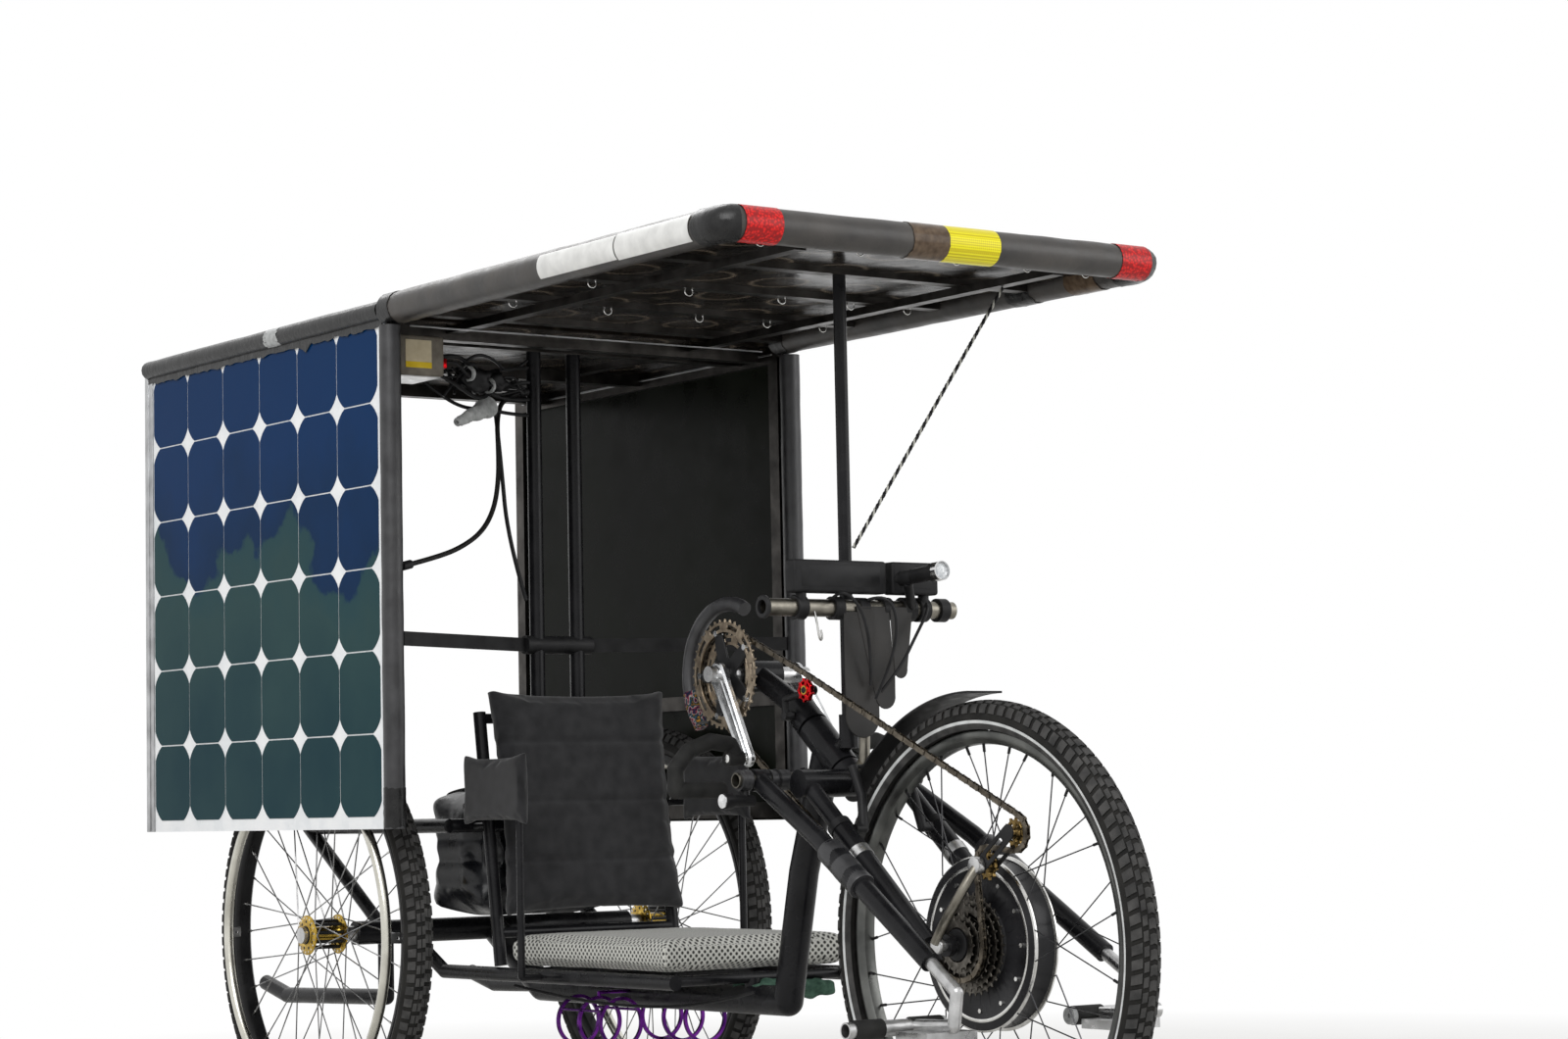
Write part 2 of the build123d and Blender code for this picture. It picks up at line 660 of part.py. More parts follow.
with BuildPart() as derailleur:
    upper = at(-CHAIN_X, UPPER_PULLEY_Y, UPPER_PULLEY_Z)
    guide = at(-CHAIN_X, GUIDE_PULLEY_Y, GUIDE_PULLEY_Z)
    pulley_face = Vector(PULLEY_T / 2, 0, 0)
    plate_out = Vector(-CAGE_PLATE_X, 0, 0)
    for pulley in (upper, guide):
        rod(pulley - pulley_face, pulley + pulley_face, PULLEY_R)
        rod(pulley + plate_out - Vector(1, 0, 0), pulley, PULLEY_BOLT_R)
    with BuildSketch(Plane(origin=upper + plate_out, x_dir=(0, 1, 0), z_dir=(-1, 0, 0))):
        with Locations((0, 0), (guide.Y - upper.Y, upper.Z - guide.Z)):
            Circle(CAGE_PLATE_R)
        make_hull()
    extrude(amount=CAGE_PLATE_T)
    hanger_in = FRONT_AXLE_HALF_L + RUN_GAP
    hanger_x = hanger_in + HANGER_T
    knuckle = guide + plate_out
    bent_bar([knuckle - Vector(HANGER_R - 1, 0, 0), at(-hanger_in - 1.7, -50, 398),
              at(-hanger_x, -10, WHEEL_R + 18), at(-hanger_x, 0, WHEEL_R + 4)], HANGER_R)
    rod(at(-hanger_in, 0, WHEEL_R), at(-hanger_x, 0, WHEEL_R), HANGER_BOLT_R)
    rod(knuckle - Vector(2 * HANGER_R, 0, 0), knuckle, HANGER_BOLT_R + 1)
save(derailleur, "derailleur")

# Padded arc behind the chainring, held by a strut from the bottom bracket shell
def on_guard(angle):
    """Way out from the crank axle, at an angle from straight back towards the top."""
    turn = math.radians(angle)
    return Vector(0, math.cos(turn), math.sin(turn))


with BuildPart() as chain_guard:
    guard_middle = bb - Vector(CHAIN_X, 0, 0)
    guard_start = guard_middle + on_guard(GUARD_START) * GUARD_R
    with BuildSketch(Plane(origin=guard_start, x_dir=(1, 0, 0), z_dir=on_guard(GUARD_START + 90))):
        Circle(GUARD_FOAM_R)
    revolve(axis=Axis(guard_middle, (1, 0, 0)), revolution_arc=GUARD_SWEEP)
    strut_x = bb - Vector(GUARD_STRUT_X, 0, 0)
    bent_bar([guard_middle + on_guard(0) * GUARD_R, strut_x + on_guard(0) * GUARD_R,
              strut_x + on_guard(0) * (BB_SHELL_R + RUN_GAP)], GUARD_STRUT_R)
save(chain_guard, "chain_guard")

# Brake arch on the fork, which carries the guard over the rear of the front tyre
mudguard_r = WHEEL_R + MUDGUARD_GAP
arch_reach = mudguard_r + MUDGUARD_T + RUN_GAP + BRAKE_ARCH_R
arch_p = FORK_OFFSET + arch_reach * math.sin(math.radians(BRAKE_ARCH_TILT))
arch_a = arch_reach * math.cos(math.radians(BRAKE_ARCH_TILT))
arch_x = MUDGUARD_W / 2 + BRAKE_ARM_R + 6.0
with BuildPart() as front_brake:
    for side in sides():
        bent_bar([head(side * (LEG_X - LOWER_LEG_R - RUN_GAP), BRAKE_FOOT_P, BRAKE_FOOT_A),
                  head(side * (arch_x + 8), BRAKE_FOOT_P, BRAKE_FOOT_A),
                  head(side * (arch_x + 2), BRAKE_ELBOW_P, BRAKE_ELBOW_A),
                  head(side * arch_x, arch_p, arch_a)], BRAKE_ARM_R)
    rod(head(-arch_x, arch_p, arch_a), head(arch_x, arch_p, arch_a), BRAKE_ARCH_R)
save(front_brake, "front_brake")

with BuildPart() as mudguard:
    with BuildSketch(Plane(origin=at(0, 0, WHEEL_R), x_dir=(1, 0, 0), z_dir=(0, -1, 0))):
        with Locations((0, mudguard_r + MUDGUARD_T / 2)):
            Rectangle(MUDGUARD_W, MUDGUARD_T)
    revolve(axis=Axis(at(0, 0, WHEEL_R), (-1, 0, 0)), revolution_arc=MUDGUARD_SWEEP)
save(mudguard, "mudguard")

# Accessory bar, display, headlamp and splash flaps, all on the fork crown
acc = at(0, ACC_Y, ACC_Z)
with BuildPart() as accessory_bar:
    rod(acc - Vector(ACC_HALF_W, 0, 0), acc + Vector(ACC_HALF_W, 0, 0), ACC_R)
    bent_bar([head(0, HEAD_TUBE_R + 9, CROWN_A + 12), at(0, ACC_Y - 4, 616), acc], STEM_R)
    rod(head(0, HEAD_TUBE_R + RUN_GAP, CROWN_A + 12), head(0, HEAD_TUBE_R + 14, CROWN_A + 12), 12)
    for side in sides():
        bore(acc + Vector(side * (ACC_HALF_W - ACC_BORE_L), 0, 0), acc + Vector(side * ACC_HALF_W, 0, 0),
             ACC_R - ACC_WALL)
save(accessory_bar, "accessory_bar")

with BuildPart() as display:
    display_y = ACC_Y - 7
    block(at(-DISPLAY_HALF_W, display_y - DISPLAY_D / 2, DISPLAY_Z),
          at(DISPLAY_HALF_W, display_y + DISPLAY_D / 2, DISPLAY_Z + DISPLAY_H))
    for clamp_x in (-DISPLAY_CLAMP_X, DISPLAY_CLAMP_X):
        clamp = at(clamp_x, ACC_Y, ACC_Z)
        half_clamp = Vector(DISPLAY_CLAMP_W / 2, 0, 0)
        rod(clamp - half_clamp, clamp + half_clamp, ACC_CLAMP_R)
        rod(at(clamp_x, display_y, ACC_Z), at(clamp_x, display_y, DISPLAY_Z + 2), DISPLAY_LEG_R)
    bore(acc - Vector(ACC_HALF_W, 0, 0), acc + Vector(ACC_HALF_W, 0, 0), ACC_R + CLAMP_GAP)
save(display, "display")

with BuildPart() as headlamp:
    lamp_rear = at(LAMP_X, ACC_Y - 28, ACC_Z + LAMP_UP)
    lamp_front = lamp_rear + Vector(0, -LAMP_L, LAMP_TILT)
    lamp_neck = lamp_rear + (lamp_front - lamp_rear) * (1 - LAMP_HEAD_L / LAMP_L)
    rod(lamp_front, lamp_neck, LAMP_HEAD_R)
    rod(lamp_neck, lamp_rear, LAMP_R)
    rod(lamp_rear + Vector(0, -18, -6), at(LAMP_X + 31, ACC_Y - 14, ACC_Z + 3), 7)
    rod(at(LAMP_X + 20, ACC_Y, ACC_Z), at(LAMP_X + 42, ACC_Y, ACC_Z), ACC_CLAMP_R)
    bore(acc, acc + Vector(ACC_HALF_W, 0, 0), ACC_R + CLAMP_GAP)
save(headlamp, "headlamp")

FLAP_OUTLINES = (
    # x and z of the corners
    ((-42, 804), (18, 804), (28, 640), (14, 600), (-12, 690)),
    ((26, 804), (62, 804), (40, 668)),
)
with BuildPart() as splash_flaps:
    flap_at = at(0, ACC_Y - ACC_R - RUN_GAP, 0)
    for corners in FLAP_OUTLINES:
        with BuildSketch(Plane(origin=flap_at, x_dir=(1, 0, 0), z_dir=(0, -1, 0))):
            with BuildLine():
                Polyline(*corners, close=True)
            make_face()
        extrude(amount=FLAP_T)
save(splash_flaps, "splash_flaps")

# Main frame: head tube, boom, socket of the roof post, clamp of the leg rest bar
axle_left = at(AXLE_BEAM_X, WHEELBASE, WHEEL_R)
axle_right = at(-AXLE_BEAM_X, WHEELBASE, WHEEL_R)
post_foot = at(0, FRONT_POST_Y, FRONT_POST_FOOT_Z)
bar_clamp_end = Vector(BAR_CLAMP_HALF_W, 0, 0)
boom_path = [head(0, -BOOM_R / 2, HEAD_TUBE_A + HEAD_TUBE_L / 2), at(0, BOOM_BEND_Y, BOOM_BEND_Z),
             at(0, BOOM_LOW_Y, BOOM_Z), at(0, WHEELBASE - BOOM_RISE_L, BOOM_Z), at(0, WHEELBASE, WHEEL_R)]
with BuildPart() as main_frame:
    rod(head(0, 0, HEAD_TUBE_A), head(0, 0, HEAD_TUBE_A + HEAD_TUBE_L), HEAD_TUBE_R)
    bent_bar(boom_path, BOOM_R)
    rod(post_foot - Vector(0, 0, POST_SOCKET_FLOOR), post_foot + Vector(0, 0, POST_SOCKET_H), POST_SOCKET_R)
    rod(head(0, 10, HEAD_TUBE_A + 28), post_foot + Vector(0, 0, 8), POST_LUG_R)
    rod(head(0, 0, BAR_A), head(0, BAR_P, BAR_A), BAR_LUG_R)
    rod(head(0, BAR_P, BAR_A) - bar_clamp_end, head(0, BAR_P, BAR_A) + bar_clamp_end, CLAMP_R)
    bore(head(0, 0, HEAD_TUBE_A - HEAD_TUBE_R), head(0, 0, HEAD_TUBE_A + HEAD_TUBE_L + HEAD_TUBE_R),
         STEERER_R + RUN_GAP)
    bore(head(0, BAR_P, BAR_A) - bar_clamp_end, head(0, BAR_P, BAR_A) + bar_clamp_end, BAR_R + PRESS_GAP)
    bore(post_foot, post_foot + Vector(0, 0, 2 * POST_SOCKET_H), FRONT_POST_R + PRESS_GAP)
    bore(axle_right, axle_left, AXLE_BEAM_R + PRESS_GAP)
save(main_frame, "main_frame")

with BuildPart() as axle_beam:
    rod(axle_right, axle_left, AXLE_BEAM_R)
save(axle_beam, "axle_beam")

# Rails under the seat, with a short post on the boom below each cross tube
with BuildPart() as seat_rails:
    for cross_y in CROSS_TUBES_Y:
        rod(at(-RAIL_X, cross_y, RAIL_Z), at(RAIL_X, cross_y, RAIL_Z), CROSS_TUBE_R)
        rod(at(0, cross_y, BOOM_Z), at(0, cross_y, RAIL_Z), CROSS_POST_R)
    for side in sides():
        bent_bar([at(side * RAIL_X, SEAT_FRONT_Y, RAIL_Z), at(side * RAIL_X, WHEELBASE - RAIL_RISE_L, RAIL_Z),
                  at(side * RAIL_X, WHEELBASE, WHEEL_R)], RAIL_R)
    bore(axle_right, axle_left, AXLE_BEAM_R + PRESS_GAP)
    bore(boom_path[2], boom_path[3], BOOM_R + PRESS_GAP)
save(seat_rails, "seat_rails")

with BuildPart() as rear_axles:
    for side in sides():
        inner = at(side * (AXLE_BEAM_X + RUN_GAP), WHEELBASE, WHEEL_R)
        outer = at(side * (WHEEL_X + HUB_HALF_W + AXLE_NUT_T + 2), WHEELBASE, WHEEL_R)
        rod(inner, at(side * (WHEEL_X - HUB_HALF_W - 2), WHEELBASE, WHEEL_R), AXLE_COLLAR_R)
        rod(inner, outer, REAR_AXLE_R)
        rod(outer - Vector(side * AXLE_NUT_T, 0, 0), outer, AXLE_NUT_R)
save(rear_axles, "rear_axles")

with BuildPart() as rear_frame:
    for side in sides():
        x = side * FRAME_X
        axle = at(x, WHEELBASE, WHEEL_R)
        corner = at(x, UPPER_BAR_Y, UPPER_BAR_Z)
        seat_on_axle = axle + (corner - axle).normalized() * (AXLE_BEAM_R + RUN_GAP)
        strut = at(x, UPPER_BAR_Y, STRUT_Z)
        bent_bar([seat_on_axle, corner, at(x, REAR_MAST_Y, UPPER_BAR_Z)], FRAME_R)
        rod(corner, strut, FRAME_R)
        rod(strut, at(side * (WALL_INNER_X - WALL_FRAME_T), UPPER_BAR_Y, STRUT_Z), STRUT_R)
    for cross_y in (UPPER_BAR_Y, REAR_MAST_Y):
        rod(at(-FRAME_X, cross_y, UPPER_BAR_Z), at(FRAME_X, cross_y, UPPER_BAR_Z), FRAME_R)
save(rear_frame, "rear_frame")

with BuildPart() as tail_tubes:
    for side in sides():
        x = side * FRAME_X
        axle_foot = at(x, WHEELBASE, WHEEL_R - AXLE_BEAM_R - RUN_GAP)
        tail_knee = at(x, WHEELBASE + TAIL_L - TAIL_TIP_L, TAIL_KNEE_Z)
        tail_end = at(x, WHEELBASE + TAIL_L, TAIL_Z)
        bent_bar([axle_foot, at(x, WHEELBASE, TAIL_BEND_Z), tail_knee, tail_end], TAIL_R)
        bore(tail_end, tail_end + (tail_knee - tail_end).normalized() * TAIL_BORE_L, TAIL_R - TAIL_WALL)
save(tail_tubes, "tail_tubes")

# Seat
with BuildPart() as seat_cushion:
    seat_low = RAIL_Z + RAIL_R + SOFT_GAP
    block(at(-SEAT_HALF_W, SEAT_FRONT_Y, seat_low), at(SEAT_HALF_W, SEAT_REAR_Y, seat_low + CUSHION_T))
    fillet(seat_cushion.edges(), 14)
save(seat_cushion, "seat_cushion")

lean = math.radians(BACK_LEAN)
back_foot = at(0, BACK_FOOT_Y, BACK_FOOT_Z)
back_dir = Vector(0, math.sin(lean), math.cos(lean))
back_out = Vector(0, -math.cos(lean), math.sin(lean))
with BuildPart() as backrest_frame:
    for side in sides():
        foot = back_foot + Vector(side * RAIL_X, 0, 0)
        rod(foot + back_dir * (RAIL_Z + RAIL_R + 2 - BACK_FOOT_Z), foot + back_dir * BACK_H, BACK_TUBE_R)
    for height in BACK_BARS_UP:
        bar = back_foot + back_dir * height
        rod(bar - Vector(RAIL_X, 0, 0), bar + Vector(RAIL_X, 0, 0), BACK_BAR_R)
    for side in sides():
        rod(back_foot + back_dir * BACK_BARS_UP[1] + Vector(side * RAIL_X, 0, 0),
            at(side * RAIL_X, REAR_MAST_Y - FRAME_R - RUN_GAP, UPPER_BAR_Z - 1), BACK_STAY_R)
save(backrest_frame, "backrest_frame")

back_plane = Plane(origin=back_foot + back_out * (BACK_TUBE_R + SOFT_GAP), x_dir=(1, 0, 0), z_dir=back_out)
with BuildPart() as backrest_cushion:
    with BuildSketch(back_plane):
        with Locations((0, BACK_PAD_FOOT + BACK_H / 2)):
            RectangleRounded(2 * BACK_PAD_HALF_W, BACK_H, BACK_CORNER_R)
    extrude(amount=BACK_T)
    fillet(backrest_cushion.edges().group_by(Axis.Y)[0], 12)
save(backrest_cushion, "backrest_cushion")

with BuildPart() as side_supports:
    for side in sides():
        x = side * SUPPORT_X
        front_y = SUPPORT_Y - SUPPORT_L / 3
        rear_y = SUPPORT_Y + SUPPORT_L / 2 - 10
        rear_z = SUPPORT_Z - 25
        with BuildSketch(Plane(origin=at(x, SUPPORT_Y, SUPPORT_Z), x_dir=(0, 1, 0), z_dir=(1, 0, 0))):
            RectangleRounded(SUPPORT_L, SUPPORT_H, BACK_CORNER_R)
        extrude(amount=SUPPORT_T / 2, both=True)
        bent_bar([at(x, front_y, SUPPORT_Z - 55), at(x, front_y, RAIL_Z),
                  at(side * (RAIL_X + RAIL_R + RUN_GAP), front_y, RAIL_Z)], SUPPORT_R)
        rod(at(x, rear_y, rear_z), at(side * (RAIL_X + BACK_TUBE_R + RUN_GAP), rear_y, rear_z), BACK_STAY_R)
save(side_supports, "side_supports")

with BuildPart() as rear_bag:
    bag_front = REAR_MAST_Y + REAR_MAST_R + RUN_GAP
    block(at(-BAG_HALF_W, bag_front, WHEEL_R + AXLE_BEAM_R + 3),
          at(BAG_HALF_W, bag_front + BAG_L, UPPER_BAR_Z + BAG_ABOVE_BAR))
    fillet(rear_bag.edges(), 30)
save(rear_bag, "rear_bag")

with BuildPart() as bottle_cages:
    for side in sides():
        cage = at(side * CAGE_X, CAGE_Y, CAGE_Z)
        half_ring = Vector(0, CAGE_HOOP_T / 2, 0)
        for ring_y in (0, CAGE_L / 2, CAGE_L):
            middle = cage + Vector(0, ring_y, 0)
            rod(middle - half_ring, middle + half_ring, CAGE_R + CAGE_HOOP_T / 2)
        bore(cage - half_ring, cage + half_ring + Vector(0, CAGE_L, 0), CAGE_R - CAGE_HOOP_T / 2)
        for turn in (-90, 30, 150):
            out = Vector(math.cos(math.radians(turn)), 0, math.sin(math.radians(turn))) * CAGE_R
            rod(cage + out, cage + out + Vector(0, CAGE_L, 0), CAGE_WIRE_R)
        cage_top = cage + Vector(0, CAGE_L / 2, CAGE_R + 1)
        stem_top = cage_top + Vector(0, 0, CAGE_STEM_H)
        bent_bar([cage_top, stem_top, stem_top - Vector(side * (CAGE_X - BOOM_R - RUN_GAP), 0, 0)],
                 CAGE_STEM_R)
save(bottle_cages, "bottle_cages")

# Leg rest bar with foam, and the two footrests that hang from it
with BuildPart() as leg_rest_bar:
    rod(head(-BAR_HALF_W, BAR_P, BAR_A), head(BAR_HALF_W, BAR_P, BAR_A), BAR_R)
    for side in sides():
        bore(head(side * (BAR_HALF_W - BAR_BORE_L), BAR_P, BAR_A), head(side * BAR_HALF_W, BAR_P, BAR_A),
             BAR_R - BAR_WALL)
save(leg_rest_bar, "leg_rest_bar")

with BuildPart() as leg_rest_foam:
    for side in sides():
        for low_x, high_x in ((BAR_CLAMP_HALF_W + 3, FOOT_BOOM_X - FOOT_CLAMP_HALF_W - 4),
                              (FOOT_BOOM_X + FOOT_CLAMP_HALF_W + 5, BAR_HALF_W - 4)):
            rod(head(side * low_x, BAR_P, BAR_A), head(side * high_x, BAR_P, BAR_A), BAR_FOAM_R)
    bore(head(-BAR_HALF_W, BAR_P, BAR_A), head(BAR_HALF_W, BAR_P, BAR_A), BAR_R + PRESS_GAP)
    # The bar is bare where the chain swings past it as the front wheel is steered
    bore(head(-BAR_BARE_OUT_X, BAR_P, BAR_A), head(-BAR_BARE_IN_X, BAR_P, BAR_A), BAR_FOAM_R + 1)
save(leg_rest_foam, "leg_rest_foam")

boom_top = head(0, BAR_P, BAR_A)
with BuildPart() as footrest_booms:
    for side in sides():
        start = boom_top + Vector(side * FOOT_BOOM_X, 0, 0)
        knee = at(side * (FOOT_BOOM_X + 12), FOOT_KNEE_Y, FOOT_KNEE_Z)
        low = at(side * FOOT_LOW_X, FOOT_LOW_Y, FOOT_LOW_Z)
        clamp_half = Vector(FOOT_CLAMP_HALF_W, 0, 0)
        rod(start - clamp_half, start + clamp_half, CLAMP_R)
        bent_bar([start, knee, low], FOOT_BOOM_R)
        sleeve = (low - knee).normalized()
        rod(knee + sleeve * 30, knee + sleeve * 120, FOOT_SLEEVE_R)
    bore(boom_top - Vector(BAR_HALF_W, 0, 0), boom_top + Vector(BAR_HALF_W, 0, 0), BAR_R + PRESS_GAP)
save(footrest_booms, "footrest_booms")

with BuildPart() as footrests:
    for side in sides():
        boom_low = at(side * FOOT_LOW_X, FOOT_LOW_Y, FOOT_LOW_Z)
        way = (boom_low - at(side * (FOOT_BOOM_X + 12), FOOT_KNEE_Y, FOOT_KNEE_Z)).normalized()
        pad_x = side * (FOOT_LOW_X + 8)
        cross_in = at(side * (FOOT_LOW_X - 40), FOOT_TUBE_Y, FOOT_TUBE_Z)
        cross_out = at(side * FOOT_TUBE_X, FOOT_TUBE_Y, FOOT_TUBE_Z)
        bent_bar([boom_low + way * RUN_GAP, at(side * (FOOT_LOW_X + 5), FOOT_TUBE_Y - 90, FOOT_TUBE_Z + 47),
                  at(pad_x, FOOT_TUBE_Y - 86, FOOT_TUBE_Z + 3), at(pad_x, FOOT_TUBE_Y - 4, FOOT_TUBE_Z + 1)],
                 FOOT_HOOK_R)
        rod(cross_in, cross_out, FOOT_TUBE_R)
        block(at(pad_x - FOOT_PAD_W / 2, FOOT_TUBE_Y - 82, FOOT_TUBE_Z - 17),
              at(pad_x + FOOT_PAD_W / 2, FOOT_TUBE_Y - 16, FOOT_TUBE_Z - 17 + FOOT_PAD_T))
        bore(cross_out - Vector(side * BAR_BORE_L, 0, 0), cross_out, FOOT_TUBE_R - BAR_WALL)
save(footrests, "footrests")

# Roof
with BuildPart() as roof_edge_foam:
    bent_bar([at(-ROOF_HALF_W, ROOF_SPLIT_Y, ROOF_Z), at(-ROOF_HALF_W, ROOF_FRONT_Y, ROOF_Z),
              at(ROOF_HALF_W, ROOF_FRONT_Y, ROOF_Z), at(ROOF_HALF_W, ROOF_SPLIT_Y, ROOF_Z)], ROOF_FOAM_R)
save(roof_edge_foam, "roof_edge_foam")

FRONT_ROOF_X = ROOF_HALF_W - ROOF_FOAM_R - SOFT_GAP
with BuildPart() as roof_panel_front:
    block(at(-FRONT_ROOF_X, ROOF_FRONT_Y + ROOF_FOAM_R + SOFT_GAP, ROOF_Z),
          at(FRONT_ROOF_X, ROOF_SPLIT_Y, ROOF_Z + PANEL_T))
save(roof_panel_front, "roof_panel_front")

with BuildPart() as roof_panel_rear:
    block(at(-WALL_X, ROOF_SPLIT_Y + SOFT_GAP, REAR_ROOF_Z),
          at(WALL_X, ROOF_REAR_Y, REAR_ROOF_Z + REAR_ROOF_T))
save(roof_panel_rear, "roof_panel_rear")

# Alloy strips, rails and bars below the roof, and the frames inside the walls
STRIP_Z = ROOF_Z - ROOF_STRIP_T
RAIL_LOW_Z = STRIP_Z - ROOF_RAIL_T
BAR_LOW_Z = REAR_ROOF_Z - ROOF_BAR_T
ROOF_BAR_X = WALL_INNER_X - WALL_FRAME_T
with BuildPart() as panel_frames:
    for strip_y in (ROOF_FRONT_Y + 40, FRONT_POST_Y, *ROOF_STRIPS_Y):
        block(at(-FRONT_ROOF_X, strip_y - ROOF_STRIP_W / 2, STRIP_Z),
              at(FRONT_ROOF_X, strip_y + ROOF_STRIP_W / 2, ROOF_Z))
    for rail_x in (-ROOF_RAIL_X, ROOF_RAIL_X):
        low_x, high_x = rail_x - ROOF_RAIL_W / 2, rail_x + ROOF_RAIL_W / 2
        block(at(low_x, ROOF_FRONT_Y + 30, RAIL_LOW_Z), at(high_x, ROOF_MID_Y + 10, STRIP_Z))
        block(at(low_x, ROOF_MID_Y + 10, RAIL_LOW_Z), at(high_x, ROOF_REAR_Y - 95, REAR_ROOF_Z))
    for bar_y in (REAR_MAST_Y, ROOF_REAR_Y - 115, *ROOF_BARS_Y):
        block(at(-ROOF_BAR_X, bar_y - ROOF_BAR_W / 2, BAR_LOW_Z),
              at(ROOF_BAR_X, bar_y + ROOF_BAR_W / 2, REAR_ROOF_Z))
    for side in sides():
        low_x = min(side * WALL_INNER_X, side * ROOF_BAR_X)
        high_x = low_x + WALL_FRAME_T
        frame_low = WALL_BOTTOM_Z + 4.0
        block(at(low_x, WALL_FRONT_Y, frame_low), at(high_x, WALL_REAR_Y, WALL_TOP_Z))
        block(at(low_x, WALL_FRONT_Y + WALL_FRAME_W, frame_low + WALL_FRAME_W),
              at(high_x, WALL_REAR_Y - WALL_FRAME_W, WALL_TOP_Z - WALL_FRAME_W), Mode.SUBTRACT)
        block(at(low_x, WALL_FRONT_Y, STRUT_Z - 12), at(high_x, WALL_REAR_Y, STRUT_Z + 12))
save(panel_frames, "panel_frames")

with BuildPart() as roof_post_front:
    rod(at(0, FRONT_POST_Y, FRONT_POST_FOOT_Z), at(0, FRONT_POST_Y, STRIP_Z), FRONT_POST_R)
save(roof_post_front, "roof_post_front")

with BuildPart() as rear_masts:
    for side in sides():
        x = side * REAR_MAST_X
        rod(at(x, REAR_MAST_Y, UPPER_BAR_Z + FRAME_R), at(x, REAR_MAST_Y, BAR_LOW_Z), REAR_MAST_R)
save(rear_masts, "rear_masts")

# Walls, their front posts and braces
for side in sides():
    with BuildPart() as side_wall:
        low_x = min(side * WALL_INNER_X, side * WALL_X)
        block(at(low_x, WALL_FRONT_Y, WALL_BOTTOM_Z), at(low_x + PANEL_T, WALL_REAR_Y, WALL_TOP_Z))
    save(side_wall, "side_wall_" + side_name(side))

POST_Y = WALL_FRONT_Y - POST_FOAM_R - SOFT_GAP
with BuildPart() as wall_posts:
    for side in sides():
        post_x = side * WALL_X
        rod(at(post_x, POST_Y, WALL_BOTTOM_Z), at(post_x, POST_Y, ROOF_Z - ROOF_FOAM_R), POST_FOAM_R)
save(wall_posts, "wall_posts")

brace_end_x = REAR_MAST_X + REAR_MAST_R + 12.0
with BuildPart() as side_braces:
    for side in sides():
        start = at(side * (WALL_X - POST_FOAM_R - 1), POST_Y, BRACE_Z)
        end = at(side * (brace_end_x - 2), REAR_MAST_Y, BRACE_Z)
        line = end - start
        with Locations(Plane(origin=start, x_dir=(0, 0, 1), z_dir=line)):
            Box(BRACE_W, BRACE_T, line.length, align=(Align.CENTER, Align.CENTER, Align.MIN))
    rod(at(-brace_end_x, REAR_MAST_Y, BRACE_Z), at(brace_end_x, REAR_MAST_Y, BRACE_Z), BRACE_COLLAR_R)
    for side in sides():
        collar = at(side * REAR_MAST_X, REAR_MAST_Y, BRACE_Z)
        half_hole = Vector(0, 0, 2 * BRACE_COLLAR_R)
        bore(collar - half_hole, collar + half_hole, REAR_MAST_R + PRESS_GAP)
save(side_braces, "side_braces")

with BuildPart() as control_box:
    block(at(CONTROL_BOX_X - CONTROL_BOX_W, CONTROL_BOX_Y, BAR_LOW_Z - CONTROL_BOX_H),
          at(CONTROL_BOX_X, CONTROL_BOX_Y + CONTROL_BOX_L, BAR_LOW_Z))
    fillet(control_box.edges().filter_by(Axis.Z), 6)
save(control_box, "control_box")

# Cable that hangs from the right mast to the right wall post, with its two glands
CABLE_R = 4.0
CABLE_POINTS = (
    # x to the left, y behind the front axle, z
    (-66, 1090, 1196), (-100, 1086, 1186), (-117, 1076, 1150), (-121, 1066, 1104), (-126, 1058, 1052),
    (-142, 1046, 1002), (-176, 1028, 962), (-228, 1008, 934), (-286, 986, 916), (-342, 966, 903),
)
GLAND_R = 7.0


def corner_radii(points):
    """As large an arc at each corner of a route as its two runs allow."""
    radii = []
    for before, corner, after in zip(points, points[1:], points[2:]):
        turn = math.radians((corner - before).get_angle(after - corner))
        shorter = min((corner - before).length, (after - corner).length)
        radii.append(0.45 * shorter / math.tan(turn / 2))
    return radii


cable_route = [at(*point) for point in CABLE_POINTS]
cable_radii = corner_radii(cable_route)
print("side_cable radii", [round(radius) for radius in cable_radii])
with BuildPart() as side_cable:
    with BuildLine() as cable_path:
        FilletPolyline(*cable_route, radius=cable_radii)
    cable_start = cable_route[1] - cable_route[0]
    with BuildSketch(Plane(origin=cable_route[0], z_dir=cable_start)):
        Circle(CABLE_R)
    sweep(path=cable_path.line)
cable_length = sum(edge.length for edge in cable_path.edges())
print("side_cable length", round(cable_length, 1), "volume over section",
      round(side_cable.part.volume / (math.pi * CABLE_R ** 2), 1))
save(side_cable, "side_cable")

with BuildPart() as cable_glands:
    mast_side = at(-REAR_MAST_X - REAR_MAST_R - RUN_GAP, REAR_MAST_Y, CABLE_POINTS[0][2] + 3)
    rod(mast_side, mast_side - Vector(8, 0, 0), GLAND_R)
    rod(cable_route[0] - cable_start.normalized() * 11, cable_route[0], GLAND_R - 1)
    cable_end = cable_route[-1]
    end_way = (cable_end - cable_route[-2]).normalized()
    rod(cable_end, cable_end + end_way * 21, GLAND_R)
save(cable_glands, "cable_glands")

# Taut stay from a roof rail to the front post
stay_top = at(ROOF_RAIL_X, 215, RAIL_LOW_Z - STAY_R / 2 - RUN_GAP)
stay_post = at(0, FRONT_POST_Y, STAY_Z)
stay_way = Vector(stay_top.X - stay_post.X, stay_top.Y - stay_post.Y, 0).normalized()
with BuildPart() as stay_cord:
    rod(stay_top, stay_post + stay_way * (FRONT_POST_R + STAY_R + RUN_GAP), STAY_R)
save(stay_cord, "stay_cord")
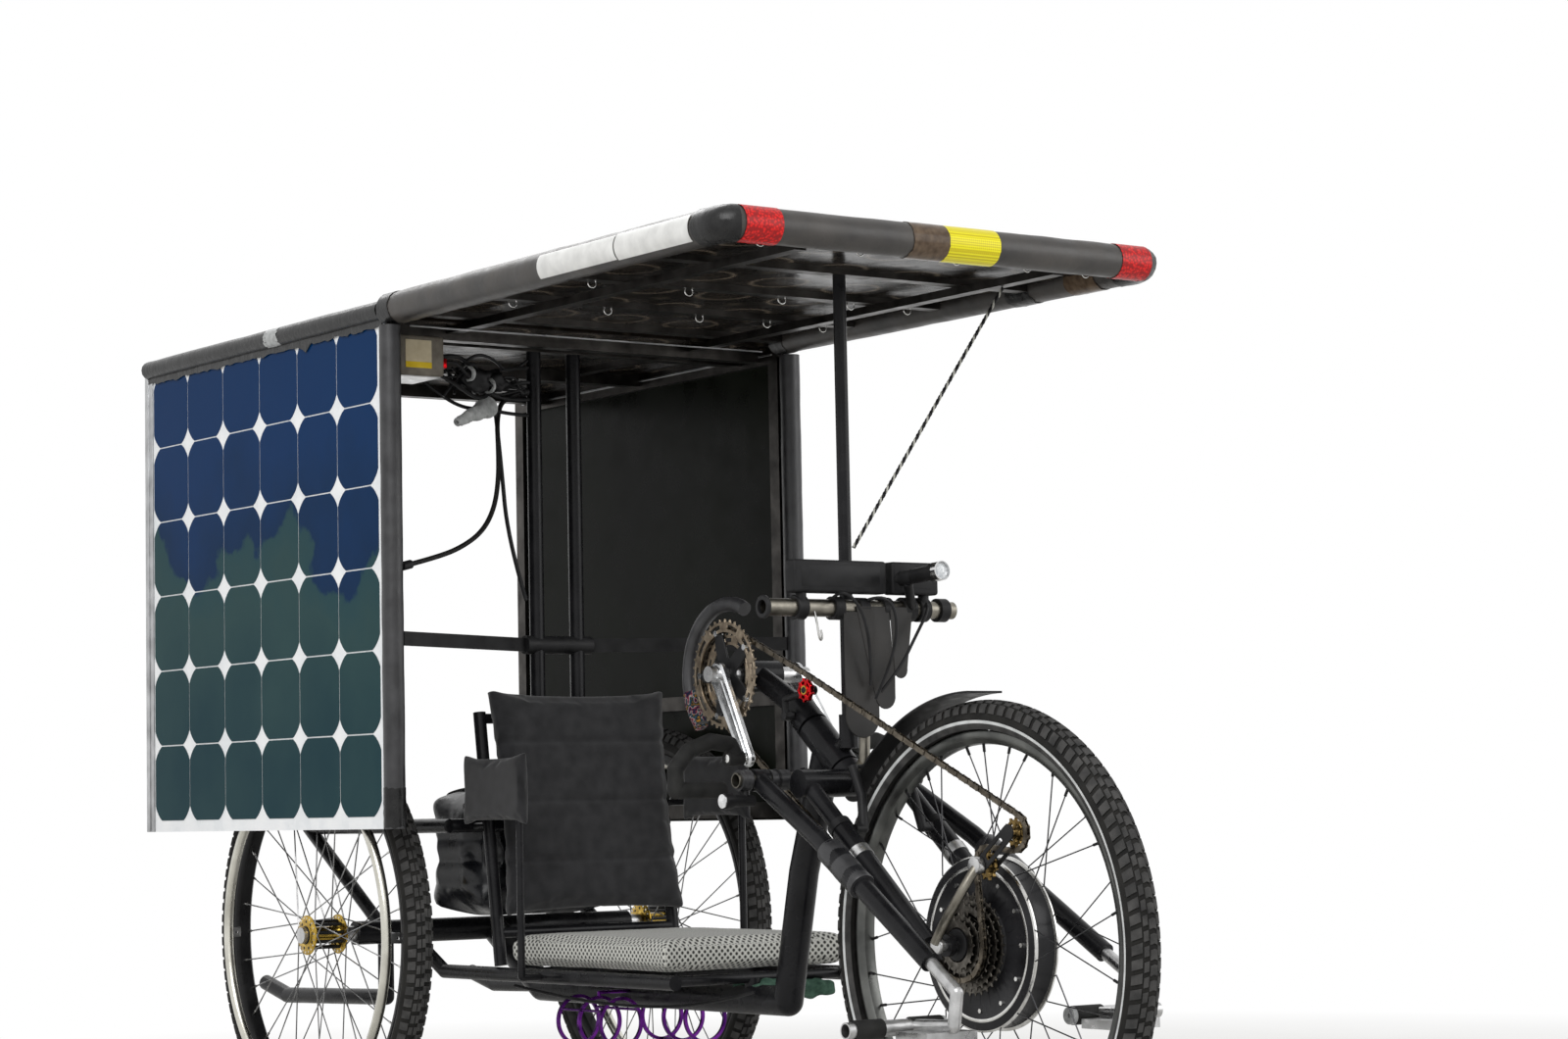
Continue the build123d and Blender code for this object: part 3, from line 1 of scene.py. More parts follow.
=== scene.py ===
import math

import bmesh
import bpy
from mathutils import Matrix, Vector, noise


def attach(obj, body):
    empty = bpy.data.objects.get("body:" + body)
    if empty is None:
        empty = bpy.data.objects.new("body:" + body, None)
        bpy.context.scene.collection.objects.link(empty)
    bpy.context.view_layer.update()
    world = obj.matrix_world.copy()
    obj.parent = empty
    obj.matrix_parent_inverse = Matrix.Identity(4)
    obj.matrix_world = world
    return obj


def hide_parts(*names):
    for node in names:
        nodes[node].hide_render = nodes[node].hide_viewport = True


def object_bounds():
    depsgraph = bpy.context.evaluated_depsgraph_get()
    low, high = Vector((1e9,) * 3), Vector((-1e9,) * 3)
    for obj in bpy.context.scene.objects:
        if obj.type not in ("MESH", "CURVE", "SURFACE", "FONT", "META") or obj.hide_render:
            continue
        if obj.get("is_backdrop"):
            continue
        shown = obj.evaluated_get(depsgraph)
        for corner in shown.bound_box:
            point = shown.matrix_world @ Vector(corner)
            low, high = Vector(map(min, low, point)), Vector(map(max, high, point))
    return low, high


# Hand-cranked recumbent trike with a solar roof and solar side walls.
# Metres. Forward is -Y, up is +Z, left is +X.
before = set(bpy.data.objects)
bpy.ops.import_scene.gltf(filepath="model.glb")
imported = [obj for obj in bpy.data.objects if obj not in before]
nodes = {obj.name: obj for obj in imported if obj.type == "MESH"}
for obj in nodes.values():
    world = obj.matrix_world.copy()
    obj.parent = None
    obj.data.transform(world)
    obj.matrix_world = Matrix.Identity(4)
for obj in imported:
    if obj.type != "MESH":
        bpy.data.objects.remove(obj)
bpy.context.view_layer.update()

X, Y, Z = Vector((1, 0, 0)), Vector((0, 1, 0)), Vector((0, 0, 1))
ORIGIN = Vector((0, 0, 0))
FULL = 2 * math.pi
SIDES = ((-1, "right"), (1, "left"))
FRONT_Y = -0.7425
REAR_Y = FRONT_Y + 1.3
WHEEL_R = 0.330
HEAD_COS, HEAD_SIN = math.cos(math.radians(40)), math.sin(math.radians(40))


def at(x, y, z):
    """Point x to the left, y behind the front axle and z above the ground."""
    return Vector((x, FRONT_Y + y, z))


def head(x, p, a):
    """Point a along the steering axis, p in front of it and x to the left."""
    return Vector((x, -0.72926 + a * HEAD_COS - p * HEAD_SIN, 0.31422 + a * HEAD_SIN + p * HEAD_COS))


def out_at(share):
    """Way out from a wheel's axle, at that share of a turn from the top."""
    return Vector((0, math.sin(FULL * share), math.cos(FULL * share)))


# The bench: picking, editing and finishing a piece
def rest():
    """Object mode with nothing selected."""
    if bpy.context.mode != "OBJECT":
        bpy.ops.object.mode_set(mode="OBJECT")
    bpy.ops.object.select_all(action="DESELECT")


def pick(*pieces):
    rest()
    for piece in pieces:
        piece.select_set(True)
    bpy.context.view_layer.objects.active = pieces[0]


def edit(piece):
    """Edit mode with the whole piece selected."""
    pick(piece)
    bpy.ops.object.mode_set(mode="EDIT")
    bpy.ops.mesh.select_all(action="SELECT")


def fresh(name):
    piece = bpy.context.object
    piece.name = piece.data.name = name
    return piece


def settle(piece, matrix=None):
    """Put the piece's place into its mesh."""
    if matrix is not None:
        piece.matrix_world = matrix
    pick(piece)
    bpy.ops.object.transform_apply(location=True, rotation=True, scale=True)
    return piece


def modify(piece, kind, **settings):
    pick(piece)
    modifier = piece.modifiers.new(kind.title(), kind)
    for key, value in settings.items():
        setattr(modifier, key, value)
    bpy.ops.object.modifier_apply(modifier=modifier.name)
    return piece


def tidied(piece, gap=0.00001):
    """Merge doubles and turn the faces outwards."""
    edit(piece)
    bpy.ops.mesh.remove_doubles(threshold=gap)
    bpy.ops.mesh.select_all(action="SELECT")
    bpy.ops.mesh.normals_make_consistent(inside=False)
    rest()
    return piece


def smooth(piece, angle=40):
    pick(piece)
    bpy.ops.object.shade_smooth_by_angle(angle=math.radians(angle))
    return piece


def rounded(piece, width, segments=2):
    """Round every edge that is sharper than 35 degrees."""
    modify(piece, "BEVEL", width=width, segments=segments, limit_method="ANGLE", angle_limit=math.radians(35))
    return smooth(piece)


def joined(name, *pieces):
    pick(*pieces)
    bpy.ops.object.join()
    return fresh(name)


def facing(centre, axis):
    """Matrix that turns X to axis, at centre."""
    return Matrix.Translation(centre) @ X.rotation_difference(axis).to_matrix().to_4x4()


def along(start, end):
    """Matrix that turns Z to the line from start to end, at its middle."""
    return Matrix.Translation((start + end) / 2) @ Z.rotation_difference(end - start).to_matrix().to_4x4()


def across(spot):
    """Matrix that turns Z to X, at spot."""
    return along(spot - X, spot + X)


def basis(centre, right, up):
    """Matrix whose X is right and whose Y is up."""
    right, up = right.normalized(), up.normalized()
    return Matrix.Translation(centre) @ Matrix((right, up, right.cross(up))).transposed().to_4x4()


MADE = {}  # finishes by name


def dress(piece, *finishes):
    piece.data.materials.clear()
    for name in finishes:
        piece.data.materials.append(MADE[name])
    return piece


def turned(name, section, centre, axis=X, steps=48):
    """Closed section of (distance along the axis, radius), spun right round."""
    rest()
    bpy.ops.mesh.primitive_circle_add(vertices=len(section), radius=0.01)
    piece = fresh(name)
    for vertex, (run, radius) in zip(piece.data.vertices, section):
        vertex.co = (run, 0, radius)
    edit(piece)
    bpy.ops.mesh.spin(steps=steps, angle=FULL, center=(0, 0, 0), axis=(1, 0, 0))
    tidied(piece)
    settle(piece, facing(centre, axis))
    return smooth(piece)


def collar(name, low, high, inner, outer, centre, finish_name, axis=X, steps=32):
    """Plain ring from low to high along the axis."""
    section = [(low, inner), (low, outer), (high, outer), (high, inner)]
    return dress(turned(name, section, centre, axis, steps), finish_name)


def pin(name, sides, radius, depth):
    """Upright cylinder at the origin."""
    rest()
    bpy.ops.mesh.primitive_cylinder_add(vertices=sides, radius=radius, depth=depth)
    return fresh(name)


def rod(name, start, end, radius, finish_name, rim=0.0, sides=24):
    piece = settle(pin(name, sides, radius, (end - start).length), along(start, end))
    return dress(rounded(piece, rim) if rim else smooth(piece), finish_name)


def slab(name, one, other, finish_name, rim, segments=3):
    """Box between two opposite corners, its edges rounded."""
    low, high = at(*map(min, one, other)), at(*map(max, one, other))
    rest()
    bpy.ops.mesh.primitive_cube_add(size=1, location=(low + high) / 2, scale=high - low)
    return dress(rounded(settle(fresh(name)), rim, segments), finish_name)


def drawn(name, points, radius, sides, resolution, sharp=False):
    """Round curve on a smooth line, or with sharp on the straight runs themselves."""
    rest()
    bpy.ops.curve.primitive_nurbs_path_add()
    piece = fresh(name)
    curve = piece.data
    curve.splines.clear()
    spline = curve.splines.new("POLY" if sharp else "NURBS")
    spline.points.add(len(points) - 1)
    for point, place in zip(spline.points, points):
        point.co = (*place, 1)
    if not sharp:
        spline.order_u = 3
        spline.use_endpoint_u = True
    curve.dimensions = "3D"
    curve.resolution_u = resolution
    curve.bevel_depth = radius
    curve.bevel_resolution = sides
    curve.use_fill_caps = True
    return piece


def tube(name, points, radius, sides=3, sharp=False):
    """Bar along a line."""
    pick(drawn(name, points, radius, sides, 6, sharp))
    bpy.ops.object.convert(target="MESH")
    return smooth(tidied(settle(fresh(name))))


def wire(name, points, radius, finish_name="wire_skin", sides=2):
    """Dressed tube through points written as at takes them."""
    return dress(tube(name, [at(*point) for point in points], radius, sides), finish_name)


def plate(name, outlines, thick, rim=0.0003):
    """Flat plate in XY from its outline, with the other outlines cut out of it."""
    rest()
    bpy.ops.curve.primitive_bezier_circle_add()
    piece = fresh(name)
    curve = piece.data
    curve.splines.clear()
    curve.dimensions = "2D"
    curve.fill_mode = "BOTH"
    for outline in outlines:
        spline = curve.splines.new("POLY")
        spline.points.add(len(outline) - 1)
        for point, (x, y) in zip(spline.points, outline):
            point.co = (x, y, 0, 1)
        spline.use_cyclic_u = True
    curve.extrude = thick / 2 - rim
    curve.bevel_depth = rim
    curve.bevel_resolution = 0
    curve.offset = -rim
    pick(piece)
    bpy.ops.object.convert(target="MESH")
    return smooth(tidied(fresh(name)), 30)


def arc(x, y, radius, first, last, steps):
    """Points of an arc, its angles in degrees."""
    return [(x + radius * math.cos(math.radians(first + (last - first) * step / steps)),
             y + radius * math.sin(math.radians(first + (last - first) * step / steps)))
            for step in range(steps + 1)]


def disc(radius, steps=48, x=0.0):
    return arc(x, 0, radius, 0, 360, steps)[:-1]


def stadium(length, wide, narrow, steps=8):
    """Outline round a circle of radius wide at the start and one of radius narrow at length."""
    lean = math.degrees(math.acos((wide - narrow) / length))
    return arc(0, 0, wide, lean, 360 - lean, steps) + arc(length, 0, narrow, -lean, lean, steps)


def kidneys(count, radius, width, sweep, first=0.0):
    """Curved slots in an even row round the middle of a ring."""
    slots = []
    for part in range(count):
        middle = first + 360 * part / count
        slots.append(arc(0, 0, radius + width / 2, middle - sweep / 2, middle + sweep / 2, 5)
                     + arc(0, 0, radius - width / 2, middle + sweep / 2, middle - sweep / 2, 5))
    return slots


def teeth(count, tip, root):
    outline = []
    for tooth in range(count):
        for part, radius in ((-0.44, root), (-0.20, root), (-0.07, tip), (0.07, tip), (0.20, root)):
            turn = FULL * (tooth + part) / count
            outline.append((radius * math.cos(turn), radius * math.sin(turn)))
    return outline


def strung(name, one, matrices):
    """One piece's mesh, repeated at every matrix."""
    whole = bmesh.new()
    for matrix in matrices:
        copy = one.data.copy()
        copy.transform(matrix)
        whole.from_mesh(copy)
        bpy.data.meshes.remove(copy)
    whole.to_mesh(one.data)
    whole.free()
    one.name = one.data.name = name
    return one


TAPE_THICK = 0.0003


def patch(name, start, end, radius, first, last, ragged, finish_name, rows=6):
    """Tape laid round a tube from start to end, over the angles first to last."""
    start, end = at(*start), at(*end)
    rest()
    bpy.ops.mesh.primitive_grid_add(x_subdivisions=rows, y_subdivisions=28, size=2)
    piece = fresh(name)
    length = (end - start).length
    for vertex in piece.data.vertices:
        run, turn = (vertex.co.x + 1) / 2, math.radians(first + (last - first) * (vertex.co.y + 1) / 2)
        tear = ragged * noise.noise((6 * turn, run * 3, 1.7)) * (1 if run in (0, 1) else 0.2)
        crease = radius + ragged * 0.12 * noise.noise((run * 9, turn * 4, 4.1))
        vertex.co = (run * length + tear, crease * math.cos(turn), crease * math.sin(turn))
    way = (end - start).normalized()
    settle(piece, basis(start, way, Z.cross(way).normalized() if abs(way.z) < 0.9 else X))
    modify(piece, "SOLIDIFY", thickness=TAPE_THICK, offset=1)
    mount(dress(smooth(tidied(piece, 0.0000001), 50), finish_name), "frame", "foam_grey")


def paint(piece, index, chosen):
    """Give the material of that index to the faces that chosen picks by their centre."""
    for face in piece.data.polygons:
        if chosen(face.center):
            face.material_index = index


def mount(piece, body, slot, *replaced):
    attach(piece, body)
    if replaced:
        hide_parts(*replaced)


def dented(piece, size, depth, seed):
    """Push the surface in and out a little, as a soft or worn one is."""
    for vertex in piece.data.vertices:
        vertex.co += vertex.normal * depth * noise.noise(vertex.co / size + Vector((seed, 0, 0)))
    return piece


def puffed(piece, voxel, reach, floor=None):
    """Swell a padded cover like a filled cushion."""
    modify(piece, "REMESH", mode="VOXEL", voxel_size=voxel)
    places = [vertex.co.copy() for vertex in piece.data.vertices]
    pick(piece)
    cloth = piece.modifiers.new("Cloth", "CLOTH")
    cloth.settings.use_pressure = True
    cloth.settings.uniform_pressure_force = 4
    cloth.settings.effector_weights.gravity = 0
    cloth.settings.quality = 4
    cloth.point_cache.frame_start = 1
    cloth.point_cache.frame_end = 20
    for count in range(1, 21):
        bpy.context.scene.frame_set(count)
    bpy.ops.object.modifier_apply(modifier=cloth.name)
    bpy.context.scene.frame_set(1)
    for vertex, place in zip(piece.data.vertices, places):
        move = vertex.co - place
        if move.length > reach:
            vertex.co = place + move * (reach / move.length)
        if floor is not None:
            vertex.co.z = max(vertex.co.z, floor)
    modify(piece, "SUBSURF", levels=1, render_levels=1)
    return smooth(piece, 180)


def boxed_uv(piece):
    """UV of one unit to the metre, from the nearest of the six sides."""
    edit(piece)
    bpy.ops.uv.cube_project(cube_size=1, scale_to_bounds=False, correct_aspect=False)
    rest()
    return piece


# Finishes. A colour is written as its levels of red, green and blue, of 255
def tone(levels):
    return tuple((level / 255 / 12.92) if level <= 10 else ((level / 255 + 0.055) / 1.055) ** 2.4
                 for level in levels)


def shader_of(material):
    return material.node_tree.nodes["Principled BSDF"]


def finish(name, colour, rough=0.5, metal=0.0, **sockets):
    material = MADE[name] = bpy.data.materials.new(name)
    material.use_nodes = True
    material.diffuse_color = (*tone(colour), 1)
    for socket, value in {"Base_Color": (*tone(colour), 1), "Roughness": rough, "Metallic": metal,
                          "Specular_IOR_Level": 0.5 if metal else 0.16, **sockets}.items():
        shader_of(material).inputs[socket.replace("_", " ")].default_value = value
    return material


def node(owner, kind, values=None, **settings):
    made = owner.node_tree.nodes.new("ShaderNode" + kind)
    for key, value in settings.items():
        setattr(made, key, value)
    for socket, value in (values or {}).items():
        made.inputs[socket].default_value = value
    return made


def link(owner, source, target):
    owner.node_tree.links.new(source, target)


def spread(material, stretch=(1, 1, 1), space="Object", turn=0.0):
    """The piece's own coordinates, stretched and turned."""
    mapping = node(material, "Mapping", {"Scale": stretch, "Rotation": (0, 0, turn)})
    link(material, node(material, "TexCoord").outputs[space], mapping.inputs["Vector"])
    return mapping.outputs["Vector"]


def clouds(material, size, detail=3.0, stretch=(1, 1, 1)):
    texture = node(material, "TexNoise", {"Scale": 1 / size, "Detail": detail})
    link(material, spread(material, stretch), texture.inputs["Vector"])
    return texture.outputs["Fac"]


def dots(material, size, space="UV", even=True, flat=True, stretch=(1, 1, 1), turn=0.0):
    """Distance from the middle of each cell of a grid of cells."""
    texture = node(material, "TexVoronoi", {"Scale": 1 / size}, voronoi_dimensions="2D" if flat else "3D")
    texture.inputs["Randomness"].default_value = 0.0 if even else 1.0
    link(material, spread(material, stretch, space, turn), texture.inputs["Vector"])
    return texture.outputs["Distance"]


def ranged(owner, source, low, high, start=0.0, end=1.0):
    """Pattern from low to high, as start to end."""
    reach = node(owner, "MapRange", {"From Min": low, "From Max": high, "To Min": start, "To Max": end})
    link(owner, source, reach.inputs["Value"])
    return reach.outputs["Result"]


def height_of(material, axis, low, high, folded=False):
    """Place along X, Y or Z from low to high, as 0 to 1; folded takes both sides of 0 alike."""
    split = node(material, "SeparateXYZ")
    source = spread(material)
    if folded:
        fold = node(material, "VectorMath", operation="ABSOLUTE")
        link(material, source, fold.inputs[0])
        source = fold.outputs["Vector"]
    link(material, source, split.inputs["Vector"])
    return ranged(material, split.outputs[axis], low, high)


def graded(material, source, *stops):
    """Colour ramp of (position, colour) over a pattern."""
    ramp = node(material, "ValToRGB")
    elements = ramp.color_ramp.elements
    elements.remove(elements[1])
    elements[0].position, elements[0].color = stops[0][0], (*tone(stops[0][1]), 1)
    for position, colour in stops[1:]:
        elements.new(position).color = (*tone(colour), 1)
    link(material, source, ramp.inputs["Fac"])
    return ramp.outputs["Color"]


def mixed(material, source, first, second):
    """First colour where the pattern is 0, second where it is 1."""
    mix = node(material, "Mix", data_type="RGBA")
    link(material, source, mix.inputs["Factor"])
    link(material, first, mix.inputs[6])
    link(material, second, mix.inputs[7])
    return mix.outputs[2]


def coloured(material, source):
    link(material, source, shader_of(material).inputs["Base Color"])
    return material


def mottled(material, size, dark, light, stretch=(1, 1, 1)):
    return coloured(material, graded(material, clouds(material, size, 4, stretch), (0.28, dark), (0.72, light)))


def dulled(material, size, low, high, stretch=(1, 1, 1)):
    roughness = ranged(material, clouds(material, size, 3, stretch), 0.3, 0.7, low, high)
    link(material, roughness, shader_of(material).inputs["Roughness"])
    return material


def raised(material, source, depth):
    """Bump on top of the bumps that are there already."""
    bump = node(material, "Bump", {"Distance": depth})
    link(material, source, bump.inputs["Height"])
    normal = shader_of(material).inputs["Normal"]
    if normal.links:
        link(material, normal.links[0].from_socket, bump.inputs["Normal"])
    link(material, bump.outputs["Normal"], normal)
    return material


def grained(material, size, depth, stretch=(1, 1, 1)):
    return raised(material, clouds(material, size, 2, stretch), depth)


METALS = (
    # name, dark, light, roughness from and to, size of the mottling
    ("bright_edge", (178, 176, 172), (226, 226, 224), 0.14, 0.26, 0.02),
    ("alloy", (168, 168, 168), (206, 206, 206), 0.24, 0.40, 0.02),
    ("crank_silver", (176, 178, 180), (222, 223, 224), 0.16, 0.30, 0.02),
    ("strip_alloy", (150, 151, 152), (196, 197, 198), 0.28, 0.46, 0.04),
    ("frame_alloy", (44, 42, 40), (84, 81, 78), 0.30, 0.50, 0.04),
    ("bar_metal", (104, 100, 92), (142, 138, 128), 0.30, 0.46, 0.02),
    ("spoke_steel", (92, 92, 92), (150, 150, 150), 0.16, 0.30, 0.03),
    ("spoke_dark", (46, 46, 48), (86, 86, 88), 0.24, 0.40, 0.03),
    ("cog_steel", (58, 55, 50), (108, 104, 98), 0.28, 0.46, 0.008),
    ("chain_metal", (58, 53, 46), (118, 110, 98), 0.26, 0.44, 0.012),
    ("ring_tan", (116, 104, 90), (170, 156, 136), 0.30, 0.46, 0.012),
    ("gold", (150, 118, 40), (208, 176, 84), 0.20, 0.34, 0.01),
    ("dull_gold", (92, 74, 40), (146, 122, 76), 0.26, 0.40, 0.01),
    ("red_anodised", (150, 10, 16), (214, 24, 32), 0.20, 0.34, 0.01),
    ("purple_anodised", (58, 20, 84), (112, 44, 142), 0.20, 0.34, 0.02),
    ("rim_silver", (70, 71, 70), (112, 113, 110), 0.26, 0.42, 0.05),
    ("push_silver", (182, 180, 170), (222, 220, 210), 0.22, 0.36, 0.05),
    ("lamp_silver", (196, 196, 196), (232, 232, 232), 0.10, 0.20, 0.01),
)
for name, dark, light, low, high, size in METALS:
    material = dulled(mottled(finish(name, light, low, 1.0), size, dark, light), size * 0.7, low, high)
    grained(material, 0.0012, 0.00008)

COATS = (
    # name, dark, light, roughness from and to, size of the mottling, then further grains
    ("frame_black", (16, 16, 18), (34, 34, 36), 0.18, 0.36, 0.06),
    ("satin_black", (20, 20, 21), (40, 40, 41), 0.36, 0.52, 0.03),
    ("plastic_black", (22, 22, 23), (38, 38, 39), 0.42, 0.58, 0.02, (0.0006, 0.00012)),
    ("grip_black", (24, 24, 24), (46, 46, 45), 0.55, 0.75, 0.02, (0.0022, 0.0003)),
    ("motor_black", (26, 26, 28), (44, 44, 46), 0.16, 0.30, 0.05),
    ("rim_black", (18, 18, 19), (36, 36, 37), 0.24, 0.40, 0.05),
    ("tyre_rubber", (20, 20, 20), (44, 43, 41), 0.66, 0.86, 0.03, (0.0011, 0.00022)),
    ("worn_tread", (48, 48, 48), (82, 81, 80), 0.70, 0.88, 0.02, (0.0011, 0.00022)),
    ("reflect_stripe", (188, 190, 190), (224, 226, 226), 0.34, 0.48, 0.02),
    ("flap_rubber", (26, 25, 24), (46, 44, 42), 0.40, 0.56, 0.05, (0.002, 0.0001)),
    ("black_foam", (30, 30, 32), (58, 58, 60), 0.30, 0.46, 0.03, (0.0011, 0.0002)),
    ("dusty_foam", (32, 30, 29), (66, 62, 58), 0.32, 0.48, 0.05, (0.0011, 0.0002), (0.018, 0.0006)),
    ("creased_tape", (14, 14, 15), (34, 34, 34), 0.20, 0.40, 0.02, (0.016, 0.0004, (1, 2.5, 1))),
    ("clear_tape", (70, 56, 44), (104, 88, 72), 0.10, 0.26, 0.01),
    ("white_sticker", (206, 206, 204), (236, 236, 234), 0.28, 0.42, 0.03),
    # The pale tape finish also colours the painted glint bands on the wiring loom
    ("pale_tape", (150, 152, 152), (196, 198, 198), 0.30, 0.50, 0.008),
    ("label_beige", (186, 172, 142), (212, 200, 172), 0.44, 0.60, 0.02),
    ("label_yellow", (204, 172, 30), (228, 198, 60), 0.44, 0.60, 0.02),
    ("box_plastic", (96, 90, 82), (128, 122, 112), 0.44, 0.60, 0.02),
    ("cable_rubber", (18, 18, 18), (36, 35, 34), 0.40, 0.58, 0.02, (0.0015, 0.0001)),
    ("wire_skin", (20, 20, 21), (42, 42, 43), 0.34, 0.50, 0.02),
    ("pale_wire", (172, 172, 164), (206, 206, 198), 0.36, 0.52, 0.01),
    ("purple_wire", (120, 34, 140), (176, 62, 196), 0.26, 0.40, 0.01),
    ("green_cloth", (40, 62, 52), (78, 108, 92), 0.80, 0.92, 0.01, (0.0008, 0.0003)),
    ("black_fabric", (22, 22, 24), (44, 44, 46), 0.72, 0.88, 0.02),
    ("bag_black", (10, 11, 14), (26, 28, 33), 0.20, 0.36, 0.08, (0.020, 0.0004)),
)
SHINE = {"flap_rubber": 0.3, "black_foam": 0.5, "dusty_foam": 0.5, "creased_tape": 0.3, "bag_black": 0.4}
for name, dark, light, low, high, size, *grains in COATS:
    material = finish(name, light, low, Specular_IOR_Level=SHINE.get(name, 0.16))
    dulled(mottled(material, size, dark, light), size * 0.5, low, high)
    for grain in ((0.0016, 0.00006), *grains):
        grained(material, *grain)
shader_of(MADE["black_fabric"]).inputs["Sheen Weight"].default_value = 0.3
raised(MADE["black_fabric"], dots(MADE["black_fabric"], 0.0016), 0.0003)

tape = finish("red_tape", (214, 20, 20), 0.34, Specular_IOR_Level=0.3)
coloured(tape, graded(tape, dots(tape, 0.0042, "Object", even=False, flat=False),
                      (0.20, (222, 30, 24)), (0.42, (196, 10, 12)), (0.62, (150, 4, 8))))
grained(tape, 0.01, 0.0003)
tape = finish("yellow_tape", (236, 226, 24), 0.34, Specular_IOR_Level=0.3)
coloured(tape, graded(tape, dots(tape, 0.0035, "Object", flat=False), (0.38, (240, 232, 30)), (0.6, (196, 176, 8))))
grained(tape, 0.01, 0.0003)
tape = finish("patterned_tape", (90, 90, 130), 0.7)
coloured(tape, graded(tape, clouds(tape, 0.008, 1), (0.38, (16, 18, 44)), (0.46, (120, 36, 56)),
                      (0.50, (160, 154, 146)), (0.53, (24, 62, 78)), (0.62, (22, 20, 22)), (0.70, (150, 110, 36))))
dulled(finish("screen_glass", (8, 9, 12), 0.06, Coat_Weight=1.0), 0.02, 0.04, 0.14)
mottled(finish("lamp_glass", (214, 218, 220), 0.08, Coat_Weight=1.0), 0.004, (170, 176, 180), (236, 238, 240))

mesh = finish("seat_mesh", (186, 186, 180), 0.72, Sheen_Weight=0.2)
holes = dots(mesh, 0.0075, turn=math.radians(45))
coloured(mesh, graded(mesh, holes, (0.26, (52, 52, 49)), (0.36, (186, 186, 180)), (0.70, (216, 216, 210))))
raised(mesh, holes, 0.0010)

# Solar cells: navy high up and teal-grey lower down, a painted reflection set by height (Z 0.60 to 1.40) with cloudy
# noise on it
cell = finish("solar_cell", (6, 46, 88), 0.16, Specular_IOR_Level=0.03)
painted_reflection_mix = node(cell, "Math", {1: 0.7}, operation="MULTIPLY_ADD")
link(cell, clouds(cell, 0.20, 6), painted_reflection_mix.inputs[0])
link(cell, height_of(cell, "Z", 0.60, 1.40), painted_reflection_mix.inputs[2])
# Stops below 0.80 are the painted reflection in teal-grey; the navy stops above are the cells' own colour
coloured(cell, graded(cell, painted_reflection_mix.outputs["Value"], (0.30, (26, 58, 66)), (0.66, (44, 72, 74)), (0.78, (38, 70, 76)),
                      (0.80, (4, 42, 78)), (1.0, (6, 48, 92))))
raised(dulled(cell, 0.05, 0.10, 0.22), clouds(cell, 0.07, 1), 0.0004)

# White on the wall's outer face, nearly black on its inner one
sheet =finish("wall_sheet", (220, 224, 226), 0.30, Specular_IOR_Level=0.06)
coloured(sheet, mixed(sheet, height_of(sheet, "X", 0.3772, 0.3776, folded=True),
                      graded(sheet, clouds(sheet, 0.2), (0.3, (6, 9, 3)), (0.7, (14, 19, 7))),
                      graded(sheet, clouds(sheet, 0.05), (0.3, (236, 239, 242)), (0.7, (250, 251, 252)))))
dulled(sheet, 0.05, 0.22, 0.40)

# Pale above the level, and below it a dark glossy film with an oval mark under each cell
for name, level in (("roof_front_sheet", 1.2985), ("roof_rear_sheet", 1.3050)):
    sheet = finish(name, (40, 34, 28), 0.22, Specular_IOR_Level=0.12)
    marks = dots(sheet, 1, "Object", stretch=(7.5, 7.0, 1))
    under = graded(sheet, marks, (0.10, (40, 34, 28)), (0.26, (26, 22, 18)), (0.31, (104, 94, 82)),
                   (0.35, (30, 25, 21)), (0.58, (18, 15, 12)), (0.68, (62, 56, 48)))
    above = graded(sheet, clouds(sheet, 0.06), (0.3, (204, 210, 214)), (0.7, (228, 232, 234)))
    coloured(sheet, mixed(sheet, height_of(sheet, "Z", level, level + 0.0004), under, above))
    dulled(grained(sheet, 0.03, 0.0012), 0.06, 0.16, 0.34)

# Side walls and roofs: solar cells with cut corners in even rows
CELL_GAP, CELL_CUT, CELL_THICK = 0.0022, 0.0240, 0.0007
CELL_ROWS = 6
for name, corner, right, up, columns, pitch_x, pitch_y in (
        ("wall_cells_right", (-0.3801, 1.783, 0.516), -Y, Z, 6, 0.1315, 0.128),
        ("wall_cells_left", (0.3801, 0.994, 0.516), Y, Z, 6, 0.1315, 0.128),
        ("roof_cells_front", (-0.330, 0.106, 1.3021), X, Y, 5, 0.132, 0.142),
        ("roof_cells_rear", (-0.345, 0.999, 1.3081), X, Y, 5, 0.138, 0.131)):
    rest()
    bpy.ops.mesh.primitive_plane_add(size=1)
    cell = fresh(name)
    for vertex in cell.data.vertices:
        vertex.co = (vertex.co.x * (pitch_x - CELL_GAP), vertex.co.y * (pitch_y - CELL_GAP), 0)
    edit(cell)
    bpy.ops.mesh.bevel(offset=CELL_CUT, segments=4, profile=0.34, affect="VERTICES")
    rest()
    modify(cell, "SOLIDIFY", thickness=CELL_THICK, offset=1)
    start = basis(at(*corner), right, up)
    strung(name, cell, [start @ Matrix.Translation(((column + 0.5) * pitch_x, (row + 0.5) * pitch_y, 0))
                        for column in range(columns) for row in range(CELL_ROWS)])
    mount(dress(cell, "solar_cell"), "frame", "solar_laminate")

